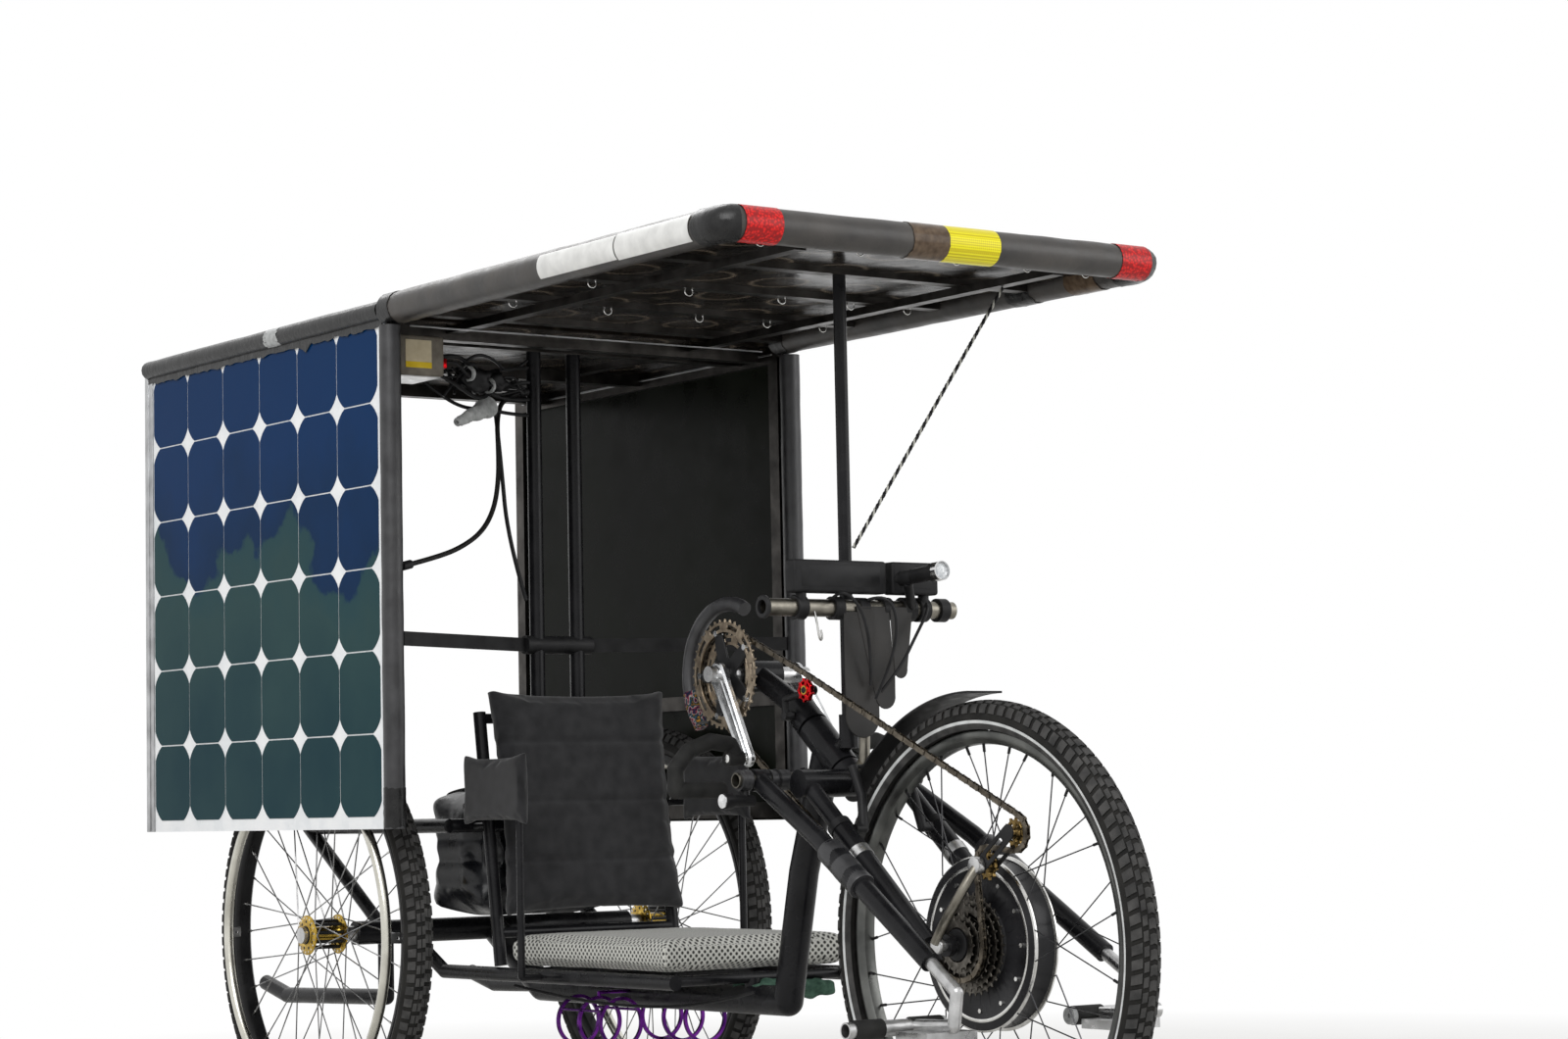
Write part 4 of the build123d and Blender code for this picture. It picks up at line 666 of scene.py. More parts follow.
# Foam tube round the front roof, with its tapes
EDGE_X, EDGE_Y, EDGE_Z, EDGE_R = 0.371, 0.060, 1.296, 0.025
corner_run = [(-0.371, 0.082), (-0.3685, 0.0715), (-0.3625, 0.0635), (-0.352, 0.060)]
foam_run = [(-0.371, 0.9695 - 0.02 * step) for step in range(45)] + corner_run
foam_run += [(-0.332 + 0.02 * step, 0.060) for step in range(34)]
foam_run += [(-x, y) for x, y in reversed(corner_run)]
foam_run += [(0.371, 0.0895 + 0.02 * step) for step in range(45)]
foam = tube("roof_foam_tube", [at(x, y, EDGE_Z) for x, y in foam_run], EDGE_R - 0.0003, 8, sharp=True)
dress(dented(foam, 0.05, 0.0009, 3.0), "dusty_foam")
mount(foam, "frame", "foam_grey", "roof_edge_foam")

for name, low_x, high_x, material, ragged in (
        ("tape_red_right", -0.357, -0.296, "red_tape", 0.0),
        ("tape_red_left", 0.306, 0.362, "red_tape", 0.0),
        ("tape_yellow", -0.012, 0.079, "yellow_tape", 0.001),
        ("tape_clear", -0.075, -0.012, "clear_tape", 0.003)):
    patch(name, (low_x, EDGE_Y, EDGE_Z), (high_x, EDGE_Y, EDGE_Z), EDGE_R + 0.0006, -60, 300, ragged, material)
for side, name in SIDES:
    wrap = tube("corner_tape_" + name, [at(side * x, y, EDGE_Z) for x, y in (
        (0.371, 0.112), (0.371, 0.096), (0.371, 0.082), (0.3685, 0.0715), (0.3625, 0.0635), (0.356, 0.0615))],
        EDGE_R + 0.0009, 8, sharp=True)
    mount(dress(dented(wrap, 0.012, 0.0014, 5.0), "creased_tape"), "frame", "foam_grey")
for name, x, low_y, high_y, material, first, last, ragged in (
        ("sticker_front_right", -EDGE_X, 0.118, 0.298, "white_sticker", -48, 44, 0.0),
        ("sticker_rear_right", -EDGE_X, 0.301, 0.500, "white_sticker", -44, 40, 0.0),
        ("seam_tape_right", -EDGE_X, 0.935, 0.969, "creased_tape", -180, 180, 0.004),
        ("clear_tape_left", EDGE_X, 0.150, 0.215, "clear_tape", -180, 180, 0.004),
        ("flap_tape_left", EDGE_X, 0.300, 0.352, "creased_tape", -180, 180, 0.008),
        ("seam_tape_left", EDGE_X, 0.935, 0.969, "creased_tape", -180, 180, 0.004)):
    patch(name, (x, low_y, EDGE_Z), (x, high_y, EDGE_Z), EDGE_R + 0.0006, first, last, ragged, material, rows=10)

# Rear roof: round black edging, and the tape that laps over the walls
WALL_X, RIM_Y, RIM_Z = 0.380, 1.799, 1.2955
for side, name in SIDES:
    run = [at(side * WALL_X, 0.975 + 0.0415 * step, RIM_Z) for step in range(20)] + [at(side * WALL_X, RIM_Y, RIM_Z)]
    edging = tube("roof_edging_" + name, run, 0.0158, 5, sharp=True)
    mount(dress(dented(edging, 0.06, 0.0009, 2.0 * side), "creased_tape"), "frame", "foam_grey")
    rest()
    bpy.ops.mesh.primitive_grid_add(x_subdivisions=90, y_subdivisions=6, size=2)
    lap = fresh("wall_tape_" + name)
    for vertex in lap.data.vertices:
        run, drop = (vertex.co.x + 1) / 2, (1 - vertex.co.y) / 2
        torn = 0.0045 * noise.noise((run * 26, side, 0)) + 0.003 * noise.noise((run * 70, side, 2))
        flap = 0.012 * max(0, 1 - abs(run - 0.30) / 0.02)
        vertex.co = at(side * (0.3830 + 0.0007 * noise.noise((run * 40, drop * 3, 1))),
                       0.974 + 0.828 * run, 1.290 - drop * (0.020 + torn + flap))
    modify(lap, "SOLIDIFY", thickness=0.0005, offset=0)
    mount(dress(smooth(tidied(lap, 0.0000001)), "creased_tape"), "frame", "foam_grey")
    strip = "wall_edge_strip_" + name
    trim = slab(strip, (side * 0.3735, 1.7850, 0.498), (side * 0.3828, 1.8135, 1.284), "strip_alloy", 0.0008)
    lip = slab("lip", (side * 0.3815, 1.7975, 0.499), (side * 0.3846, 1.8060, 1.283), "strip_alloy", 0.0008)
    mount(joined(strip, trim, lip), "frame", "strip_alloy")
rear_run = [at(-WALL_X + 0.04 * step, RIM_Y, RIM_Z) for step in range(20)]
rear_edging = dented(tube("roof_edging_rear", rear_run, 0.0155, 5, sharp=True), 0.06, 0.0009, 7.0)
mount(dress(rear_edging, "creased_tape"), "frame", "foam_grey")
patch("tape_scrap", (-WALL_X, 1.30, RIM_Z), (-WALL_X, 1.345, RIM_Z), 0.0162, -70, 60, 0.006, "pale_tape")

# Foam tubes at the front of the walls, their feet wrapped in tape
POST_Y = 0.9554
posts = []
for side, name in SIDES:
    x = side * WALL_X
    run = [at(x, POST_Y, 0.498 + 0.0245 * step) for step in range(32)] + [at(x, POST_Y, 1.2695)]
    posts.append(dented(tube("post_foam_" + name, run, 0.0168, 7, sharp=True), 0.05, 0.0007, 4.0 * side))
    patch("post_tape_" + name, (x, POST_Y, 0.500), (x, POST_Y, 0.560), 0.0172, 0, 360, 0.006, "creased_tape", rows=8)
foam_posts = dress(joined("wall_posts_foam", *posts), "black_foam")
mount(foam_posts, "frame", "foam_grey", "wall_posts")

# Tyres: a round carcass with raised blocks
TREAD_ROWS = 312
TREAD_END = 74  # degrees from the crown to the tread's edge
BLOCK_HEIGHT = 0.0019
FRONT_TREAD = {0: 0, 2: 1, 4: 2, 5: 2}
REAR_TREAD = {0: 0, 2: 0, 4: 1, 5: 1, "shift": 1}


def tyre(name, x, y, half, bend, pattern, stripe):
    """Tyre of half width half; pattern says which rows of each tread column stand up."""
    core = WHEEL_R - half

    def lean_of(place):
        """Degrees from the crown, round the tyre's section."""
        return math.degrees(math.atan2(abs(place.x), math.hypot(place.y, place.z) - core))

    side = []
    for turn in (0, 14, 17.5, 34, 38, 55, TREAD_END, 90, 97, 107, 118, 128):
        reach = half - (0.002 if turn < 80 else 0.0)
        side.append((reach * math.sin(math.radians(turn)), core + reach * math.cos(math.radians(turn))))
    section = [(-run, radius) for run, radius in reversed(side[1:])] + side + [(0.0128, 0.2893), (-0.0128, 0.2893)]
    piece = turned(name, section, ORIGIN, steps=TREAD_ROWS)
    for vertex in piece.data.vertices:
        vertex.co.rotate(Matrix.Rotation(bend * min(lean_of(vertex.co), TREAD_END) / TREAD_END, 3, "X"))
    chosen = []
    for face in piece.data.polygons:
        lean = lean_of(face.center)
        column = sum(lean > edge for edge in (14.5, 18.5, 33, 37, 55.5, 74.5))
        turn = math.atan2(face.center.z, face.center.y) - bend * min(lean, TREAD_END) / TREAD_END
        row = int(turn / (FULL / TREAD_ROWS) + TREAD_ROWS + 0.25) % TREAD_ROWS
        shift = pattern.get("shift", 0) if face.center.x > 0 else 0
        if column in pattern and (row + pattern[column] + shift) % 3 < 2:
            chosen.append(face.index)
    edit(piece)
    bpy.ops.mesh.select_all(action="DESELECT")
    bpy.ops.mesh.select_mode(type="FACE")
    bpy.ops.object.mode_set(mode="OBJECT")
    for index in chosen:
        piece.data.polygons[index].select = True
    bpy.ops.object.mode_set(mode="EDIT")
    bpy.ops.mesh.extrude_region_shrink_fatten(TRANSFORM_OT_shrink_fatten={"value": BLOCK_HEIGHT})
    bpy.ops.mesh.select_mode(type="VERT")
    rest()
    dress(piece, "tyre_rubber", "reflect_stripe", "worn_tread")
    paint(piece, 2, lambda centre: math.hypot(centre.x, math.hypot(centre.y, centre.z) - core) > half - 0.0012
          and abs(centre.x) < half * 0.965)
    if stripe:
        paint(piece, 1, lambda centre: 98 < lean_of(centre) < 106)
    return settle(smooth(piece, 25), Matrix.Translation((x, y, WHEEL_R)))


# Rims, spokes and hubs
SPOKES = 36
SPOKE_END = 0.2710  # radius at the rim


def spun_spokes(name, centre, flange_r, flange_x, lead, thick, colour, nipple):
    """Crossing spokes, with a nipple where each meets the rim."""
    one, cap = pin(name, 6, thick, 1), pin("nipple", 6, 0.0021, 0.014)
    wires, caps = [], []
    for spoke in range(SPOKES):
        side, share = 1 if spoke % 2 else -1, spoke / SPOKES
        foot_share = share + (lead if spoke // 2 % 2 else -lead) / 360
        foot = centre + X * side * flange_x + out_at(foot_share) * flange_r
        tip = centre + X * side * 0.004 + out_at(share) * SPOKE_END
        inwards = (foot - tip).normalized()
        wires.append(along(foot, tip) @ Matrix.Diagonal((1, 1, (tip - foot).length, 1)))
        caps.append(along(tip + inwards * 0.012, tip - inwards * 0.001))
    wires = dress(strung(name, one, wires), colour)
    caps = dress(strung(name + "_nipples", cap, caps), nipple)
    return smooth(joined(name, wires, caps))


RIM_SECTION = [(0.0130, 0.2885), (0.0105, 0.2885), (0.0100, 0.2835), (0.0, 0.2800), (-0.0100, 0.2835),
               (-0.0105, 0.2885), (-0.0130, 0.2885), (-0.0140, 0.2870), (-0.0135, 0.2770), (-0.0085, 0.2705),
               (0.0, 0.2690), (0.0085, 0.2705), (0.0135, 0.2770), (0.0140, 0.2870)]
axle = Vector((0, FRONT_Y, WHEEL_R))
mount(tyre("front_tyre_tread", 0, FRONT_Y, 0.025, 0.030, FRONT_TREAD, True), "front_wheel", "tyre_black", "front_tyre")
front_rim = dress(turned("front_rim_ring", RIM_SECTION, axle, steps=120), "rim_silver")
mount(front_rim, "front_wheel", "rim_silver", "front_rim")
front_wires = spun_spokes("front_spoke_set", axle, 0.1185, 0.0200, 20, 0.001, "spoke_dark", "rim_black")
mount(front_wires, "front_wheel", "bright_steel", "front_spokes")

HUB_HALF = [(0.0120, 0.0126), (0.0220, 0.0146), (0.0258, 0.0190), (0.0262, 0.0300), (0.0272, 0.0316),
            (0.0286, 0.0316), (0.0296, 0.0300), (0.0300, 0.0160), (0.031, 0.0150), (0.031, 0.0085)]
HUB_SECTION = [(-run, radius) for run, radius in reversed(HUB_HALF)] + HUB_HALF
FLANGE_X = 0.0279
for side, name in SIDES:
    body = "rear_wheel_" + name
    centre = Vector((side * 0.320, REAR_Y, WHEEL_R))
    piece = tyre("rear_tyre_tread_" + name, centre.x, REAR_Y, 0.023, 0.012, REAR_TREAD, False)
    mount(piece, body, "tyre_black", "rear_tyre_" + name)
    rim = dress(turned("rear_rim_ring_" + name, RIM_SECTION, centre, steps=120), "rim_black")
    rest()
    bpy.ops.mesh.primitive_torus_add(major_radius=0.266, minor_radius=0.008, major_segments=120, minor_segments=14,
                                     location=centre + X * side * 0.033, rotation=(0, math.pi / 2, 0))
    push = dress(smooth(settle(fresh("push_ring")), 180), "push_silver")
    tab = plate("push_tabs", [stadium(0.017, 0.0085, 0.0075, 8), disc(0.0024, 12, 0.004)], 0.0022)
    outs = [out_at((count + 0.5) / 6) for count in range(6)]
    tabs = strung("push_tabs", tab, [basis(centre + out * 0.2715 + X * side * 0.0125, X * side, out.cross(X) * side)
                                     for out in outs])
    mount(joined("rear_rim_ring_" + name, rim, push, dress(tabs, "alloy")), body, "rim_black", "rear_rim_" + name)
    wires = spun_spokes("rear_spoke_set_" + name, centre, 0.0290, FLANGE_X, 62, 0.0011, "spoke_steel", "bright_edge")
    mount(wires, body, "bright_steel", "rear_spokes_" + name)
    hub = dress(turned("rear_hub_turned_" + name, HUB_SECTION, centre, steps=64), "gold")
    heads = strung("spoke_heads", pin("spoke_heads", 8, 0.0016, 0.0046), [
        across(centre + X * flange * FLANGE_X + out_at((count + 0.25 * flange) / 18) * 0.0272)
        for flange in (-1, 1) for count in range(18)])
    gaps = strung("hub_windows", pin("hub_windows", 12, 0.0028, 0.0598),
                  [across(centre + out_at(count / 9) * 0.0212) for count in range(9)])
    cap = turned("hub_cap", [(0.0305, 0.0086), (0.0305, 0.0148), (0.0330, 0.0140), (0.0334, 0.0086)],
                 centre, X * side, 32)
    mount(joined("rear_hub_turned_" + name, hub, dress(heads, "bright_edge"), dress(gaps, "satin_black"),
                 dress(cap, "satin_black")), body, "hub_gold", "rear_hub_" + name)

# Hub motor: a black drum with painted highlights in bright metal along its edge rings, and a cover held by bolts
DRUM = [(-0.028, 0.0080), (-0.028, 0.0580), (-0.0225, 0.0605), (-0.0212, 0.0640), (-0.0205, 0.0980),
        (-0.0222, 0.1010), (-0.0222, 0.1055), (-0.0205, 0.1080), (-0.0205, 0.1165), (-0.0190, 0.1190),
        (-0.0165, 0.1190), (-0.0155, 0.1150), (-0.0080, 0.1130), (0.0080, 0.1130), (0.0155, 0.1150),
        (0.0165, 0.1190), (0.0190, 0.1190), (0.0205, 0.1165), (0.0205, 0.1080), (0.0222, 0.1055),
        (0.0222, 0.1010), (0.0205, 0.0980), (0.0212, 0.0640), (0.0240, 0.0600), (0.0300, 0.0540),
        (0.0358, 0.0470), (0.0360, 0.0080)]
drum = dress(turned("hub_motor_drum", DRUM, axle, steps=120), "motor_black", "bright_edge")
# Bright metal on the flange rims and on a step ring on each side: painted highlights along these edges
paint(drum, 1, lambda centre: 0.1155 < (centre - axle).yz.length
      or 0.1005 < (centre - axle).yz.length < 0.1060 and abs(centre.x) > 0.0218)
bolts = strung("motor_bolts", pin("motor_bolts", 6, 0.0032, 0.0028), [
    across(axle + X * side * 0.0215 + out_at(count / 12) * 0.0900) for side in (-1, 1) for count in range(12)])
fins = strung("motor_fins", pin("motor_fins", 6, 0.0012, 0.018), [
    along(axle + X * side * 0.0208 + out_at(count / 24) * 0.067, axle + X * side * 0.0200 + out_at(count / 24) * 0.082)
    for side in (-1, 1) for count in range(24)])
mount(joined("hub_motor_drum", drum, dress(bolts, "bright_edge"), dress(fins, "motor_black")),
      "front_wheel", "motor_black", "hub_motor")

CASSETTE = [(-0.062, 0.0080), (-0.062, 0.0190), (-0.0600, 0.0215), (-0.028, 0.0240), (-0.028, 0.0080)]
cogs = [dress(turned("cassette_body", CASSETTE, axle, steps=32), "satin_black")]
for x, tip, count in ((0.033, 0.0698, 34), (0.039, 0.0638, 31), (0.045, 0.0568, 28), (0.052, 0.0434, 21),
                      (0.058, 0.0368, 18)):
    cut = kidneys(6, tip * 0.68, tip * 0.20, 34) if tip > 0.05 else []
    cog = plate("cog", [teeth(count, tip, tip - 0.0042), disc(0.0235, 32)] + cut, 0.0019, 0.0002)
    cogs.append(dress(settle(cog, basis(axle - X * x, Y, Z)), "cog_steel"))
mount(joined("cassette_cogs", *cogs), "front_wheel", "chain_steel", "cassette")

# Chain: alternate inner and outer links, with a roller on each inner one
CHAIN_X = -0.052
CHAIN_PITCH = 0.0127
CHAIN_WHEELS = (
    # y behind the front axle, z, pitch radius, turn
    (0.531836, 0.716737, 0.0664, 1),
    (0.340, 0.686, 0.0214, 1),
    (-0.120, 0.480, 0.0244, 1),
    (-0.062, 0.437, 0.0244, -1),
    (0.0, 0.330, 0.048, 1),
)


def run_between(first, second):
    """Ends of the straight chain run from one sprocket to the next."""
    y1, z1, r1, turn1 = first
    y2, z2, r2, turn2 = second
    r1, r2 = r1 * turn1, r2 * turn2
    tilt = math.atan2(z2 - z1, y2 - y1) - math.acos((r1 - r2) / math.hypot(y2 - y1, z2 - z1))
    out = Vector((math.cos(tilt), math.sin(tilt)))
    return Vector((y1, z1)) + r1 * out, Vector((y2, z2)) + r2 * out


runs = [run_between(wheel, CHAIN_WHEELS[(count + 1) % 5]) for count, wheel in enumerate(CHAIN_WHEELS)]
loop = []
for count, (y, z, radius, turn) in enumerate(CHAIN_WHEELS):
    came, left = runs[count - 1][1], runs[count][0]
    first, last = math.atan2(came.y - z, came.x - y), math.atan2(left.y - z, left.x - y)
    sweep = (last - first) % FULL if turn > 0 else -((first - last) % FULL)
    steps = max(2, int(abs(sweep) * radius / 0.002))
    for step in range(steps):
        angle = first + sweep * step / steps
        loop.append(Vector((y + radius * math.cos(angle), z + radius * math.sin(angle))))
    loop.append(left)
ends = [0.0]
for first, second in zip(loop, loop[1:] + loop[:1]):
    ends.append(ends[-1] + (second - first).length)
links = 2 * round(ends[-1] / CHAIN_PITCH / 2)
pins, part = [], 0
for count in range(links):
    reach = ends[-1] * count / links
    while ends[part + 1] < reach:
        part += 1
    share = (reach - ends[part]) / (ends[part + 1] - ends[part])
    spot = loop[part].lerp(loop[(part + 1) % len(loop)], share)
    pins.append(at(CHAIN_X, spot.x, spot.y))


def chain_link(name, gap, waist, roller, odd):
    """Every second link: two side plates gap apart, and their roller or pin."""
    outline = arc(0, 0, 0.0041, 60, 300, 6) + arc(CHAIN_PITCH, 0, 0.0041, -120, 120, 6)
    sides = [settle(plate(name, [outline], 0.0009, 0.0001), Matrix.Translation((0, 0, side * gap))) for side in (-1, 1)]
    one = joined(name, *sides, pin("roller", 8, roller, 2 * waist))
    ways = [(place, pins[(count + 1) % links] - place) for count, place in enumerate(pins) if count % 2 == odd]
    return dress(strung(name, one, [basis(place, way, way.cross(X)) for place, way in ways]), "chain_metal")


chain = joined("chain_links", chain_link("chain_inner", 0.0020, 0.0017, 0.0036, 1),
               chain_link("chain_outer", 0.0030, 0.0034, 0.0018, 0))
mount(dress(smooth(chain, 30), "chain_metal"), "steering", "chain_steel", "chain")

# Cranks and chainrings
CRANK = 0.155
bb = Vector((0, -0.210664, 0.716737))
crank_way = Vector((0, -math.sin(math.radians(35.6)), -math.cos(math.radians(35.6))))
COVER = [(-0.004, 0.0010), (-0.004, 0.0125), (0.0008, 0.0125), (0.0014, 0.0115), (0.0010, 0.0080),
         (-0.0010, 0.0070), (-0.0010, 0.0010)]
arms = []
for side in (-1, 1):
    core_arm = plate("arm", [stadium(CRANK, 0.0186, 0.0124, 14)], 0.0110, 0.0028)
    spine = plate("spine", [[(x + 0.020, y) for x, y in stadium(0.126, 0.0094, 0.0060, 10)]], 0.0030, 0.0012)
    for piece, out in ((core_arm, 0.0840), (spine, 0.0896)):
        modify(piece, "TRIANGULATE")
        settle(piece, basis(bb + X * side * out, crank_way, X.cross(crank_way)))
        for vertex in piece.data.vertices:
            reach = (vertex.co - bb).dot(crank_way) / CRANK
            vertex.co.x -= side * 0.0130 * max(0, 1 - max(0, reach)) ** 1.3
        arms.append(dress(piece, "crank_silver"))
    pivot = bb + X * side * 0.0820 + crank_way * CRANK
    arms.append(rod("spindle", pivot, pivot + X * side * 0.0398, 0.0060, "bright_edge", 0.0004))
    arms.append(dress(turned("cover", COVER, bb + X * side * 0.0765, X * side, 32), "satin_black"))
arms.append(rod("crank_axle", bb - X * 0.090, bb + X * 0.090, 0.0119, "alloy"))
mount(joined("crank_pair", *arms), "crank", "crank_alloy", "crank_arms")

star = []
for count in range(160):
    turn = FULL * count / 160
    reach = 0.0245 + 0.0440 * abs(math.cos(2.5 * turn)) ** 3.2
    star.append((reach * math.cos(turn), reach * math.sin(turn)))
rings = []
for name, x, outlines, thick, rim, material in (
        ("outer_ring", 0.060, [teeth(39, 0.0818, 0.0775), disc(0.0625, 60)] + kidneys(10, 0.0705, 0.0062, 22),
         0.0028, 0.0003, "ring_tan"),
        ("inner_ring", 0.052, [teeth(31, 0.0618, 0.0580), disc(0.0440, 48)] + kidneys(10, 0.0510, 0.0056, 20, 18),
         0.0026, 0.0003, "ring_tan"),
        ("spider", 0.0565, [star, disc(0.0121, 32)], 0.0036, 0.0008, "satin_black")):
    rings.append(dress(settle(plate(name, outlines, thick, rim), basis(bb - X * x, Y, Z)), material))
ring_bolts = strung("ring_bolts", pin("ring_bolts", 12, 0.0046, 0.0115), [
    across(bb + Vector((-0.0563, run, rise))) for run, rise in disc(0.0640, 5)])
rings = smooth(joined("chainring_pair", *rings, dress(ring_bolts, "crank_silver")), 30)
mount(rings, "crank", "ring_tan", "chainrings")

# Idler on the mast, and the derailleur above the front hub
idler_at = at(CHAIN_X, 0.340, 0.686)
wheel = plate("idler_wheel", [teeth(9, 0.0176, 0.0150), disc(0.0052, 24)] + kidneys(5, 0.0104, 0.0034, 38),
              0.0070, 0.0006)
cap = turned("idler_cap", [(-0.0062, 0.0008), (-0.0062, 0.0036), (-0.0046, 0.0046), (-0.0040, 0.0008)],
             idler_at, X, 24)
arm = tube("idler_arm", [idler_at + X * 0.012, head(-0.0400, 0.026, 0.532), head(-0.0385, 0.022, 0.537),
                         head(-0.0363, 0.002, 0.522)], 0.0050, 3)
bolt = rod("idler_bolt", idler_at + X * 0.003, idler_at + X * 0.016, 0.0068, "satin_black", 0.0006)
foot = rod("idler_foot", head(-0.0413, 0.002, 0.522), head(-0.0243, 0.002, 0.522), 0.0070, "satin_black", 0.0006)
hub = collar("idler_hub", -0.0046, 0.0046, 0.0020, 0.0066, idler_at, "gold", steps=24)
idler = joined("idler_set", dress(settle(wheel, basis(idler_at, Y, Z)), "red_anodised"), hub,
               dress(cap, "satin_black"), bolt, dress(arm, "satin_black"), foot)
mount(idler, "steering", "hub_black", "idler")

parts = []
upper, guide = at(CHAIN_X, -0.120, 0.480), at(CHAIN_X, -0.062, 0.437)
for pulley in (upper, guide):
    toothed = plate("pulley", [teeth(11, 0.0203, 0.0168), disc(0.0045, 20)] + kidneys(6, 0.0110, 0.0036, 30),
                    0.0046, 0.0004)
    parts.append(dress(settle(toothed, basis(pulley, Y, Z)), "dull_gold"))
    parts.append(rod("pulley_bolt", pulley - X * 0.0132, pulley + X * 0.0070, 0.0042, "bright_edge", 0.0005))
cage_way = guide - upper
for x in (-0.0125, 0.0058):
    slot = [(px + 0.020, py) for px, py in stadium(cage_way.length - 0.040, 0.0050, 0.0050, 8)]
    cage = plate("cage", [stadium(cage_way.length, 0.0112, 0.0112, 12), slot], 0.0022, 0.0004)
    parts.append(dress(settle(cage, basis(upper + X * x, cage_way, cage_way.cross(X))), "satin_black"))
knuckle = guide - X * 0.012
hanger = tube("hanger", [knuckle - X * 0.006, at(-0.0870, -0.056, 0.412), at(-0.0930, -0.046, 0.392),
                         at(-0.0960, -0.016, 0.358), at(-0.0963, 0.0, 0.334)], 0.0068, 4)
parts.append(dress(hanger, "bar_metal"))
parts.append(rod("knuckle", knuckle - X * 0.014, knuckle - X * 0.002, 0.0118, "alloy", 0.0014))
parts.append(rod("hanger_bolt", at(-0.0963, 0, 0.330), at(-0.0883, 0, 0.330), 0.0110, "alloy", 0.0008))
mount(joined("derailleur_set", *parts), "steering", "hub_black", "derailleur")

# Padded arc behind the chainring
GUARD_R = 0.104
guard_middle = bb + X * CHAIN_X
guard_run = [guard_middle + Vector((0, run, rise)) for run, rise in arc(0, 0, GUARD_R, -45, 115, 40)]
guard = dented(tube("chain_guard_foam", guard_run, 0.0109, 5, sharp=True), 0.03, 0.0006, 1.0)
mount(dress(guard, "black_foam"), "steering", "foam_grey", "chain_guard")
wrap = dented(tube("guard_tape", guard_run[:9], 0.0116, 5, sharp=True), 0.010, 0.0010, 6.0)
mount(dress(wrap, "patterned_tape"), "steering", "foam_grey")
strut_x = bb - X * 0.026
strut = tube("guard_strut", [guard_middle + Y * GUARD_R, strut_x + Y * GUARD_R, strut_x + Y * 0.098,
                             strut_x + Y * 0.0213], 0.0035, 2)
mount(dress(strut, "satin_black"), "steering", "frame_black")

# Display boxes, headlamp and flaps on the accessory bar
CLAMP = [(0.0129, 0), (0.0168, 0), (0.0177, 0.001)]  # radius, and how far inside the clamp's end


def bar_at(x):
    return at(x, 0.276, 0.800)


def bar_clamp(name, x, half):
    section = [(inset - half, radius) for radius, inset in CLAMP]
    return dress(turned(name, section + [(-run, radius) for run, radius in reversed(section)], bar_at(x), X, 40),
                 "satin_black")


boxes = []
for low_x, high_x in ((-0.1295, 0.0350), (0.0450, 0.1295)):
    for name, inset, low_y, high_y, low_z, high_z, material, rim, segments in (
            ("display_box", 0, 0.2565, 0.2815, 0.8205, 0.8675, "plastic_black", 0.0045, 3),
            ("display_back", 0.012, 0.2560, 0.2600, 0.829, 0.860, "satin_black", 0.0015, 2),
            ("display_glass", 0.007, 0.2780, 0.2820, 0.826, 0.862, "screen_glass", 0.0012, 2)):
        low, high = (low_x + inset, low_y, low_z), (high_x - inset, high_y, high_z)
        boxes.append(slab(name, low, high, material, rim, segments))
for x in (-0.110, 0.110):
    boxes.append(bar_clamp("display_clamp", x, 0.009))
    boxes.append(rod("display_leg", at(x, 0.269, 0.806), at(x, 0.269, 0.823), 0.0080, "satin_black", 0.001))
    boxes.append(rod("clamp_bolt", at(x, 0.2930, 0.800), at(x, 0.2980, 0.800), 0.0032, "bright_edge", 0.0005, 6))
mount(joined("display_pair", *boxes), "steering", "display_plastic", "display")

lamp_rear, lamp_way = at(0.052, 0.248, 0.842), Vector((0, -0.98, 0.06)).normalized()
lamp = []
for name, material, section in (
        ("lamp_shell", "plastic_black", [
            (0.0, 0.0005), (0.0, 0.0085), (0.003, 0.0108), (0.030, 0.0110), (0.032, 0.0100), (0.036, 0.0100),
            (0.038, 0.0110), (0.068, 0.0110), (0.078, 0.0136), (0.088, 0.0136), (0.088, 0.0005)]),
        ("lamp_bezel", "lamp_silver", [
            (0.0885, 0.0120), (0.0870, 0.0140), (0.0975, 0.0140), (0.0982, 0.0126), (0.0920, 0.0116)]),
        ("lamp_lens", "lamp_glass", [
            (0.088, 0.0004), (0.088, 0.0118), (0.0935, 0.0118), (0.0955, 0.0060), (0.0960, 0.0004)])):
    lamp.append(dress(turned(name, section, lamp_rear, lamp_way, 36), material))
lamp.append(rod("lamp_arm", lamp_rear - Y * 0.018 - Z * 0.006, at(0.083, 0.262, 0.803), 0.0068, "satin_black", 0.001))
lamp.append(bar_clamp("lamp_clamp", 0.083, 0.011))
mount(joined("headlamp_set", *lamp), "steering", "display_plastic", "headlamp")

tongues = []
for outline in (
        [(-0.040, 0.795), (0.020, 0.795)] + arc(-0.010, 0.645, 0.030, 0, -180, 12),
        [(-0.019, 0.803), (0.040, 0.803), (0.049, 0.700)] + arc(0.031, 0.674, 0.018, 10, -170, 10),
        [(0.041, 0.803), (0.083, 0.803), (0.071, 0.715)] + arc(0.059, 0.712, 0.012, 0, -180, 8)):
    tongue = settle(plate("tongue", [outline], 0.0022, 0.0008), basis(at(0, 0.2622 - 0.0010 * len(tongues), 0), X, Z))
    tongues.append(dress(tongue, "flap_rubber"))
mount(smooth(joined("flap_set", *tongues), 50), "steering", "flap_rubber", "splash_flaps")

